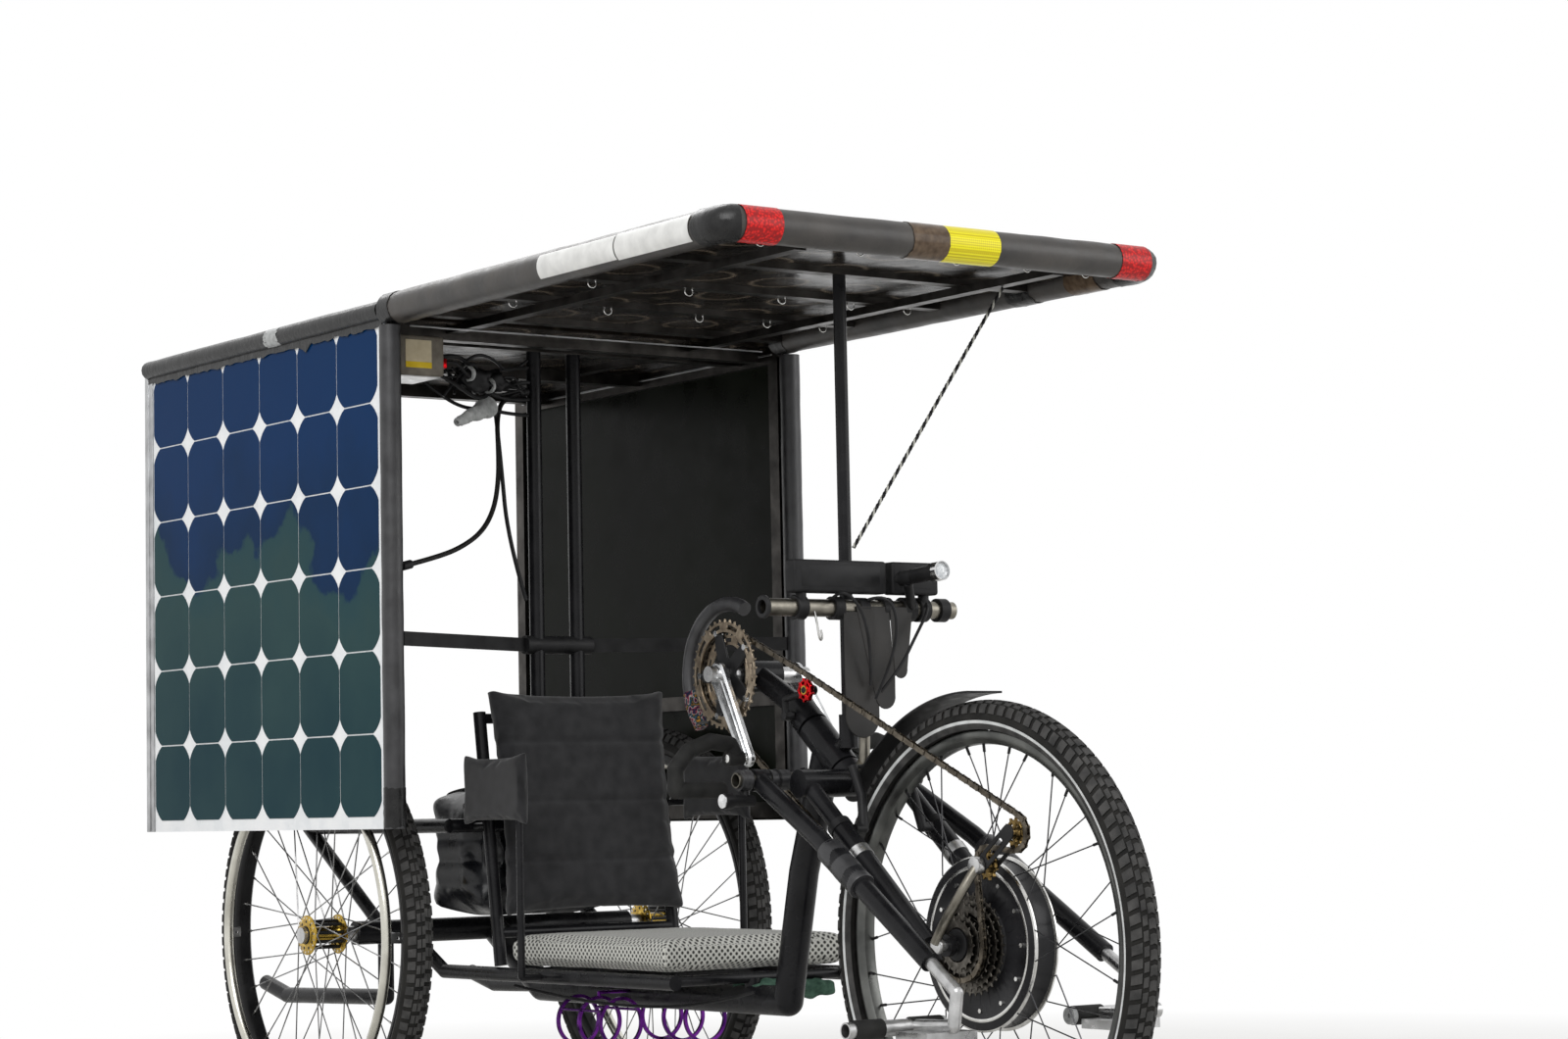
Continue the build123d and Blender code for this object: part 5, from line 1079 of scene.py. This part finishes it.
# Clamps, hook and wiring on the accessory bar
extras = [collar("bar_clamp", -0.008, 0.008, 0.0128, radius, bar_at(x), "satin_black", steps=36)
          for x, radius in ((-0.045, 0.0168), (0.000, 0.0160), (0.042, 0.0170), (0.146, 0.0172))]
extras.append(dress(turned("bar_disc", [(0, 0.0102), (0, 0.0165), (0.003, 0.0172), (0.005, 0.0150), (0.005, 0.0102)],
                           bar_at(-0.1682), -X, 36), "satin_black"))
extras.append(wire("bar_hook", ((-0.090, 0.2645, 0.794), (-0.090, 0.259, 0.780), (-0.088, 0.258, 0.760),
                                (-0.083, 0.260, 0.752), (-0.078, 0.262, 0.758), (-0.080, 0.264, 0.768)),
                   0.0016, "bright_edge"))
for points in (
        ((-0.058, 0.266, 0.812), (-0.060, 0.240, 0.826), (-0.030, 0.232, 0.800), (-0.010, 0.238, 0.740),
         (-0.002, 0.252, 0.690)),
        ((0.004, 0.262, 0.812), (0.020, 0.236, 0.820), (0.034, 0.230, 0.780), (0.024, 0.236, 0.720),
         (0.006, 0.252, 0.670)),
        ((0.110, 0.262, 0.808), (0.098, 0.240, 0.800), (0.070, 0.236, 0.762), (0.040, 0.238, 0.712),
         (0.014, 0.250, 0.680))):
    extras.append(wire("bar_wire", points, 0.0024))
mount(joined("bar_fittings", *extras), "steering", "frame_black")

# Brake lever under the bar
lever = wire("brake_blade", ((0.035, 0.288, 0.742), (0.046, 0.300, 0.716), (0.052, 0.312, 0.680),
                             (0.050, 0.318, 0.646)), 0.0042, "satin_black", 3)
perch = rod("brake_perch", at(0.016, 0.282, 0.760), at(0.046, 0.286, 0.744), 0.0085, "satin_black", 0.0015)
rest()
bpy.ops.mesh.primitive_uv_sphere_add(segments=20, ring_count=12, radius=0.0075, location=at(0.050, 0.319, 0.640))
ball = dress(smooth(settle(fresh("lever_ball")), 180), "red_anodised")
mount(joined("brake_lever", lever, perch, ball), "steering", "hub_black")

# Leg rest bar: foam sleeves with open ends, their ties, and a torch below
leg_bar = Vector((0, -0.383105, 0.558205))
sleeves = []
for low_x, high_x in ((-0.161, -0.142), (-0.109, -0.076), (-0.055, -0.025), (0.025, 0.109), (0.142, 0.161)):
    section = [(low_x + (high_x - low_x) * step / 8, 0.0149 + 0.0004 * math.sin(step * 2.1)) for step in range(9)]
    sleeves.append(turned("sleeve", [(low_x, 0.0112)] + section + [(high_x, 0.0112)], leg_bar, X, 32))
sleeves = dress(dented(joined("leg_rest_sleeves", *sleeves), 0.02, 0.0005, 2.0), "black_foam")
mount(sleeves, "frame", "foam_grey", "leg_rest_foam")
ties = [collar("tie", -0.0018, 0.0018, 0.0152, 0.0160, leg_bar + X * x, "satin_black")
        for x in (-0.096, -0.046, 0.052, 0.096)]
mount(joined("leg_rest_ties", *ties), "frame", "frame_black")
torch_at = leg_bar + Vector((-0.138, -0.004, -0.029))
torch = turned("torch_body", [(0, 0.0005), (0, 0.0080), (0.034, 0.0085), (0.040, 0.0112), (0.052, 0.0112),
                              (0.052, 0.0005)], torch_at, -X, 28)
lens = turned("torch_lens", [(0.0510, 0.0004), (0.0510, 0.0104), (0.0538, 0.0100), (0.0532, 0.0004)],
              torch_at, -X, 28)
clip = rod("torch_clip", torch_at - X * 0.012, leg_bar + Vector((-0.150, 0, -0.012)), 0.0050, "satin_black", 0.0006)
mount(joined("torch", dress(torch, "satin_black"), dress(lens, "lamp_silver"), clip), "frame", "frame_black")

# Foam sleeves on the footrest booms, dark sleeves and pale inner caps on the footrests
COVER_RUN = [(0.028, 0.0142), (0.028, 0.0188)]
COVER_RUN += [(0.030 + 0.0225 * step / 2, 0.0192 + 0.0005 * math.sin(step * 1.7)) for step in range(9)]
COVER_RUN += [(0.122, 0.0188), (0.122, 0.0142)]
FOOT_CAP = [(0.1095, 0.0030), (0.1095, 0.0120), (0.1165, 0.0128), (0.1165, 0.0112), (0.1119, 0.0030)]
foot_at = at(0, -0.030, 0.228)
covers, treads = [], []
for side in (-1, 1):
    knee, low = at(side * 0.137, 0.200, 0.474), at(side * 0.152, -0.060, 0.312)
    cover = turned("boom_cover", COVER_RUN, knee, (low - knee).normalized(), 32)
    covers.append(dented(cover, 0.02, 0.0006, side * 3.0))
    for low_x, high_x in ((0.116, 0.166), (0.214, 0.260)):
        treads.append(collar("footrest_sleeve", low_x * side, high_x * side, 0.0112, 0.0132, foot_at, "grip_black"))
    cap = turned("footrest_cap", [(run * side, radius) for run, radius in FOOT_CAP], foot_at, X, 32)
    treads.append(dress(cap, "pale_tape"))
mount(dress(joined("footrest_covers", *covers), "black_foam"), "frame", "foam_grey")
mount(joined("footrest_sleeves", *treads), "frame", "foam_grey")

# Fork seals and the silver collars on the legs
head_way = Vector((0, HEAD_COS, HEAD_SIN))
seals = []
for side in (-1, 1):
    for reach, radius, half, lip, material in ((0.272, 0.0174, 0.006, 0.0128, "satin_black"),
                                               (0.212, 0.0172, 0.008, 0.0158, "alloy")):
        section = [(-half, 0.0158), (-half, radius), (half, radius), (half, lip)]
        seals.append(dress(turned("fork_ring", section, head(side * 0.084, 0, reach), head_way, 32), material))
mount(joined("fork_rings", *seals), "steering", "frame_black")


# Seat: a swelled cushion of pale mesh
def padded_block(name, size, matrix, rim):
    """Soft block before it swells: its sides a little drawn in at their middles."""
    rest()
    bpy.ops.mesh.primitive_cube_add(size=1, scale=size)
    piece = settle(fresh(name))
    edit(piece)
    bpy.ops.mesh.subdivide(number_cuts=9)
    rest()
    half = Vector(size) / 2
    for vertex in piece.data.vertices:
        u, v = vertex.co.x / half.x, vertex.co.y / half.y
        vertex.co.x *= 1 - 0.035 * (1 - v * v)
        vertex.co.y *= 1 - 0.035 * (1 - u * u)
    modify(piece, "BEVEL", width=rim, segments=3, limit_method="ANGLE", angle_limit=math.radians(50))
    return settle(piece, matrix)


seat_at = at(0, 0.755, 0.3035)
seat = padded_block("seat_pad", (0.352, 0.440, 0.024), Matrix.Translation(seat_at), 0.008)
puffed(seat, 0.0055, 0.010, 0.2810)
for vertex in seat.data.vertices:
    u, v = vertex.co.x / 0.176, (vertex.co.y - seat_at.y) / 0.22
    crown = 0.008 * (1 - min(1, u * u)) * (1 - min(1, v * v)) + 0.004
    vertex.co.z += crown * min(1, max(0, (vertex.co.z - 0.2960) / 0.010))
    vertex.co.z = min(max(vertex.co.z, 0.2800), 0.3310)
mount(dress(boxed_uv(seat), "seat_mesh"), "frame", "seat_mesh", "seat_cushion")
cloth_place = Matrix.Translation(at(0.060, 0.565, 0.250)) @ Matrix.Rotation(0.1, 4, "X")
cloth = puffed(padded_block("seat_cloth", (0.150, 0.070, 0.018), cloth_place, 0.006), 0.005, 0.006)
mount(dress(dented(cloth, 0.020, 0.006, 9.0), "green_cloth"), "frame", "seat_fabric")

lean = math.radians(-8)
back_dir = Vector((0, math.sin(-lean), math.cos(lean)))
back_out = Vector((0, -math.cos(lean), math.sin(-lean)))
back_centre = at(0, 1.008, 0.292) + back_dir * 0.241 + back_out * 0.0315
back_place = Matrix.Translation(back_centre) @ Matrix.Rotation(math.radians(90) + lean, 4, "X")
back = puffed(padded_block("back_pad", (0.340, 0.370, 0.020), back_place, 0.008), 0.0055, 0.010)
for vertex in back.data.vertices:
    place = vertex.co - back_centre
    run, out = place.dot(back_dir), place.dot(back_out)
    if out > 0.004:
        vertex.co -= back_out * 0.004 * sum(math.exp(-((run - seam) / 0.006) ** 2) for seam in (-0.095, 0.0, 0.095))
    if out < -0.019:
        vertex.co += back_out * (-0.019 - out)
mount(dress(boxed_uv(back), "black_fabric"), "frame", "seat_fabric", "backrest_cushion")

pads, rods = [], []
for side, name in SIDES:
    x = side * 0.208
    pad = padded_block("side_pad_" + name, (0.190, 0.112, 0.007), basis(at(x, 0.945, 0.555), Y, Z), 0.003)
    pads.append(puffed(pad, 0.004, 0.006))
    rods.append(wire("support_" + name, ((x, 0.875, 0.520), (x, 0.875, 0.274), (x, 0.875, 0.268),
                                         (side * 0.202, 0.875, 0.268), (side * 0.1763, 0.875, 0.268)),
                     0.0058, "frame_black", 4))
    rods.append(rod("support_pin_" + name, at(x, 1.040, 0.530), at(side * 0.1753, 1.040, 0.530),
                    0.0050, "frame_black", 0.0005))
pads = dress(boxed_uv(joined("side_support_pads", *pads)), "black_fabric")
mount(pads, "frame", "seat_fabric", "side_supports")
mount(joined("side_support_rods", *rods), "frame", "frame_black")

# Rear bag: glossy black, ribbed on its sides
bag = padded_block("bag", (0.276, 0.164, 0.186), Matrix.Translation(at(0, 1.1965, 0.4570)), 0.026)
puffed(bag, 0.006, 0.010)
for vertex in bag.data.vertices:
    rib = 0.0022 * (1 - abs(math.sin((vertex.co.z - 0.37) / 0.018 * math.pi / 2)))
    if abs(vertex.normal.z) < 0.6:
        vertex.co -= Vector((vertex.normal.x, vertex.normal.y, 0)) * rib
    vertex.co.y = max(vertex.co.y, at(0, 1.1030, 0).y)
mount(dress(bag, "bag_black"), "frame", "bag_fabric", "rear_bag")
straps = []
for x in (-0.090, 0.090):
    strap = wire("strap", ((x, 1.1990, 0.5610), (x, 1.2650, 0.5585), (x, 1.2880, 0.5430), (x, 1.2925, 0.5000),
                           (x, 1.2925, 0.4000), (x, 1.2880, 0.3650)), 0.0016, "black_fabric", 1)
    for vertex in strap.data.vertices:
        vertex.co.x = x + (vertex.co.x - x) * 7
    straps.append(smooth(strap))
mount(joined("bag_straps", *straps), "frame", "bag_fabric")

# Control box below the roof, with its wires
parts = [slab("control_" + name, low, high, material, rim, segments) for name, low, high, material, rim, segments in (
    ("case", (-0.3445, 0.9905, 1.2005), (-0.2625, 1.0895, 1.2638), "box_plastic", 0.005, 3),
    ("label", (-0.3325, 0.9898, 1.2120), (-0.2860, 0.9908, 1.2560), "label_beige", 0.0003, 1),
    ("stripe", (-0.3325, 0.9894, 1.2120), (-0.2860, 0.9906, 1.2215), "label_yellow", 0.0003, 1),
    ("side_label", (-0.3450, 1.000, 1.212), (-0.3443, 1.075, 1.254), "label_beige", 0.0003, 1),
    ("under", (-0.340, 0.996, 1.1990), (-0.267, 1.084, 1.2010), "alloy", 0.0006, 1),
    ("plug", (-0.2632, 1.004, 1.216), (-0.2500, 1.026, 1.232), "red_anodised", 0.002, 2))]
mount(joined("control_case", *parts), "frame", "box_plastic", "control_box")
loom = []
for count, points in enumerate((
        ((-0.256, 1.012, 1.224), (-0.236, 1.004, 1.232), (-0.200, 1.020, 1.204), (-0.160, 1.052, 1.216),
         (-0.120, 1.074, 1.230), (-0.052, 1.084, 1.238)),
        ((-0.262, 1.030, 1.214), (-0.230, 1.016, 1.196), (-0.190, 1.028, 1.176), (-0.150, 1.056, 1.180),
         (-0.110, 1.072, 1.206), (-0.052, 1.082, 1.214)),
        ((-0.262, 1.046, 1.232), (-0.226, 1.034, 1.246), (-0.186, 1.042, 1.232), (-0.156, 1.060, 1.196),
         (-0.104, 1.072, 1.180), (-0.052, 1.084, 1.186)),
        ((-0.262, 1.060, 1.220), (-0.214, 1.048, 1.212), (-0.176, 1.046, 1.250), (-0.130, 1.062, 1.246),
         (-0.090, 1.080, 1.222), (-0.052, 1.086, 1.250)),
        ((-0.262, 1.074, 1.210), (-0.222, 1.070, 1.180), (-0.182, 1.064, 1.162), (-0.140, 1.070, 1.166),
         (-0.100, 1.078, 1.160), (-0.052, 1.086, 1.160)))):
    loom.append(wire("loom_wire", points, 0.0026 + 0.0004 * (count % 3)))
for place, radius in (((-0.180, 1.040, 1.206), 0.019), ((-0.130, 1.060, 1.208), 0.016)):
    rest()
    bpy.ops.mesh.primitive_uv_sphere_add(segments=24, ring_count=14, radius=radius, location=at(*place),
                                         scale=(1.5, 0.8, 1.0))
    knot = settle(fresh("loom_tape"))
    loom.append(dress(smooth(dented(knot, 0.010, 0.010, place[0] * 30), 180), "wire_skin"))
for count in range(12):
    points = []
    for step in range(7):
        spot = Vector((count * 1.7, step * 0.9, 3.0))
        drift = Vector([noise.noise(spot + way * 9.3) for way in (X, Y, Z)])
        points.append(at(-0.225 + 0.130 * step / 6, 1.040 + 0.025 * step / 6, 1.205) + 0.040 * drift)
    loom.append(dress(tube("loom_wire", points, 0.0021, 2), "wire_skin"))
# Two pale bands on the wires are painted highlights: they stand for glints on the black wires, in the pale tape finish
glint_way = Vector((1, 0.4, 0.2)).normalized()
for place in ((-0.196, 1.030, 1.214), (-0.146, 1.052, 1.200)):
    loom.append(collar("loom_glint_band", -0.003, 0.003, 0.0090, 0.0125, at(*place), "pale_tape", glint_way, 24))
mount(joined("wiring_loom", *loom), "frame", "cable_black")
folds = [(0.0004 + 0.0032 * step, (0.0172 - 0.00040 * step) * (1.0 if step % 2 else 0.72)) for step in range(28)]
sleeve = turned("loom_sleeve", [(0.0, 0.004)] + folds + [(0.0880, 0.004)], at(-0.138, 1.060, 1.168),
                Vector((-0.72, -0.24, -0.30)).normalized(), 28)
mount(dress(dented(sleeve, 0.018, 0.004, 8.0), "pale_tape"), "frame", "cable_black")
drop = wire("mast_wire", ((-0.118, 1.078, 1.160), (-0.104, 1.086, 1.080), (-0.090, 1.092, 0.960),
                          (-0.058, 1.090, 0.860)), 0.0034, sides=3)
mount(drop, "frame", "cable_black")

# Cable from the mast to the wall post
CABLE = ((-0.066, 1.090, 1.196), (-0.100, 1.086, 1.186), (-0.117, 1.076, 1.150), (-0.121, 1.066, 1.104),
         (-0.126, 1.058, 1.052), (-0.142, 1.046, 1.002), (-0.176, 1.028, 0.962), (-0.228, 1.008, 0.934),
         (-0.286, 0.986, 0.916), (-0.342, 0.966, 0.903))
cable = settle(drawn("hanging_cable", [at(*place) for place in CABLE], 0.004, 4, 16))
dress(cable, "cable_rubber")
mount(cable, "frame", "cable_black", "side_cable")

# Braided stay, black and pale strands round its own line
stay_low, stay_high = at(0, 0.309, 0.890), at(0.230, 0.215, 1.2725)
stay_low += Vector((stay_high.x - stay_low.x, stay_high.y - stay_low.y, 0)).normalized() * 0.0128
stay_way = stay_high - stay_low
side_way = stay_way.cross(Z).normalized()
up_way = side_way.cross(stay_way).normalized()
strands = []
for strand, material in enumerate(("pale_wire", "wire_skin", "wire_skin")):
    points = []
    for step in range(181):
        turn = FULL * (step / 8 + strand / 3)
        points.append(stay_low + stay_way * (step / 180)
                      + (side_way * math.cos(turn) + up_way * math.sin(turn)) * 0.00145)
    strands.append(dress(tube("strand", points, 0.00150, 1, sharp=True), material))
mount(joined("stay_braid", *strands), "frame", "cord_pale", "stay_cord")

# Thin purple and black cables below the seat
lines = [wire("frame_cable", points, 0.0024, material) for points, material in (
    (((0.040, 0.500, 0.250), (0.060, 0.560, 0.222), (0.085, 0.640, 0.216), (0.100, 0.740, 0.226),
      (0.108, 0.800, 0.232)), "purple_wire"),
    (((-0.040, 0.500, 0.250), (-0.070, 0.580, 0.230), (-0.110, 0.700, 0.224), (-0.140, 0.860, 0.234),
      (-0.150, 0.990, 0.250)), "wire_skin"),
    (((0.020, 0.440, 0.395), (0.030, 0.462, 0.320), (0.026, 0.490, 0.262), (0.024, 0.560, 0.236),
      (0.024, 0.700, 0.236)), "wire_skin"))]
mount(joined("frame_cables", *lines), "frame", "cable_black")

# Small hooks on the alloy strips under the roof, and the bright strips themselves
rest()
bpy.ops.mesh.primitive_torus_add(major_radius=0.007, minor_radius=0.0011, major_segments=16, minor_segments=6)
hooks = strung("roof_hooks", fresh("roof_hooks"), [
    Matrix.Translation(at(x, y, 1.2830)) @ Matrix.Rotation(math.pi / 2, 4, "X")
    for x in (-0.290, -0.120, 0.050, 0.180, 0.290) for y in (0.100, 0.520, 0.740)])
mount(dress(smooth(hooks, 180), "bright_edge"), "frame", "strip_alloy")
strips = [slab("roof_strip", (-0.340, 0.9620, 1.2716), (0.330, 0.9665, 1.2740), "strip_alloy", 0.0004, 1),
          slab("roof_strip", (0.3640, 0.985, 1.2716), (0.3665, 1.780, 1.2750), "strip_alloy", 0.0004, 1)]
mount(joined("roof_strips", *strips), "frame", "strip_alloy")

# Finish of each CAD node that shows
FINISHES = {
    "frame_black": ("main_frame", "axle_beam", "seat_rails", "rear_frame", "tail_tubes", "crank_mast",
                    "backrest_frame", "rear_masts", "roof_post_front", "fork", "footrest_booms"),
    "satin_black": ("front_brake", "mudguard", "cable_glands", "side_braces"),
    "bar_metal": ("accessory_bar", "leg_rest_bar"),
    "alloy": ("footrests", "front_axle", "rear_axles"),
    "purple_anodised": ("bottle_cages",),
    "frame_alloy": ("panel_frames",),
    "grip_black": ("handle_right", "handle_left"),
    "wall_sheet": ("side_wall_right", "side_wall_left"),
    "roof_front_sheet": ("roof_panel_front",),
    "roof_rear_sheet": ("roof_panel_rear",),
}
for material, names in FINISHES.items():
    for name in names:
        dress(nodes[name], material)


def seen_share(owner):
    """1 on rays from the camera, off gloss and through glass, and 0 on the others."""
    rays = node(owner, "LightPath")
    share = rays.outputs["Is Camera Ray"]
    for kind in ("Is Glossy Ray", "Is Transmission Ray"):
        either = node(owner, "Math", operation="MAXIMUM")
        link(owner, share, either.inputs[0])
        link(owner, rays.outputs[kind], either.inputs[1])
        share = either.outputs[0]
    return share


# Floor: pale, and white in the distance
rest()
bpy.ops.mesh.primitive_plane_add(size=30)
floor = fresh("floor")
paving = mottled(finish("paving", (232, 231, 228), 0.85), 0.3, (228, 227, 224), (236, 235, 232))
white = node(paving, "Emission", {"Strength": 1.0})
reach = node(paving, "VectorMath", operation="LENGTH")
link(paving, spread(paving), reach.inputs[0])
share = node(paving, "Math", operation="MULTIPLY")
link(paving, ranged(paving, reach.outputs["Value"], 1.5, 3.4), share.inputs[0])
link(paving, seen_share(paving), share.inputs[1])
blend = node(paving, "MixShader")
link(paving, share.outputs[0], blend.inputs["Fac"])
link(paving, shader_of(paving).outputs["BSDF"], blend.inputs[1])
link(paving, white.outputs["Emission"], blend.inputs[2])
link(paving, blend.outputs["Shader"], paving.node_tree.nodes["Material Output"].inputs["Surface"])
dress(floor, "paving")
floor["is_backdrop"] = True

# World: white where it is seen, softer as a light
world = bpy.data.worlds.new("studio")
bpy.context.scene.world = world
world.use_nodes = True
sky = world.node_tree.nodes["Background"]
sky.inputs["Color"].default_value = (1, 1, 1, 1)
link(world, ranged(world, seen_share(world), 0.0, 1.0, 0.55, 1.0), sky.inputs["Strength"])

# Lamps
for name, place, target, size, power in (
        ("key", (-3.5, -3.0, 4.0), (0, 0, 0.6), 3.0, 150),
        ("fill", (3.4, -4.0, 2.4), (0, 0, 0.7), 3.0, 60),
        ("top", (0.5, 3.0, 4.2), (0, 0.3, 0.8), 2.5, 60)):
    rest()
    bpy.ops.object.light_add(type="AREA", location=place)
    lamp = bpy.context.object
    lamp.name = name
    lamp.data.size = size
    lamp.data.energy = power
    lamp.rotation_euler = (Vector(target) - Vector(place)).to_track_quat("-Z", "Y").to_euler()

# Camera where the photograph was taken from
turn, pitch, roll = math.radians(36.0), math.radians(4.75), math.radians(-1.171)
ahead = Vector((math.cos(pitch) * math.sin(turn), math.cos(pitch) * math.cos(turn), math.sin(pitch)))
right = ahead.cross(Z).normalized()
up = right.cross(ahead)
rolled = right * math.cos(roll) + up * math.sin(roll)
upright = up * math.cos(roll) - right * math.sin(roll)
rest()
bpy.ops.object.camera_add()
camera = bpy.context.object
facing_back = Matrix((rolled, upright, -ahead)).transposed().to_4x4()
camera.matrix_world = Matrix.Translation((-2.9663, -4.3684, 0.5233)) @ facing_back
camera.data.lens = 78.67
camera.data.sensor_width = 36.0
bpy.context.scene.camera = camera
bpy.context.scene.view_settings.view_transform = "Standard"

low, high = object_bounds()
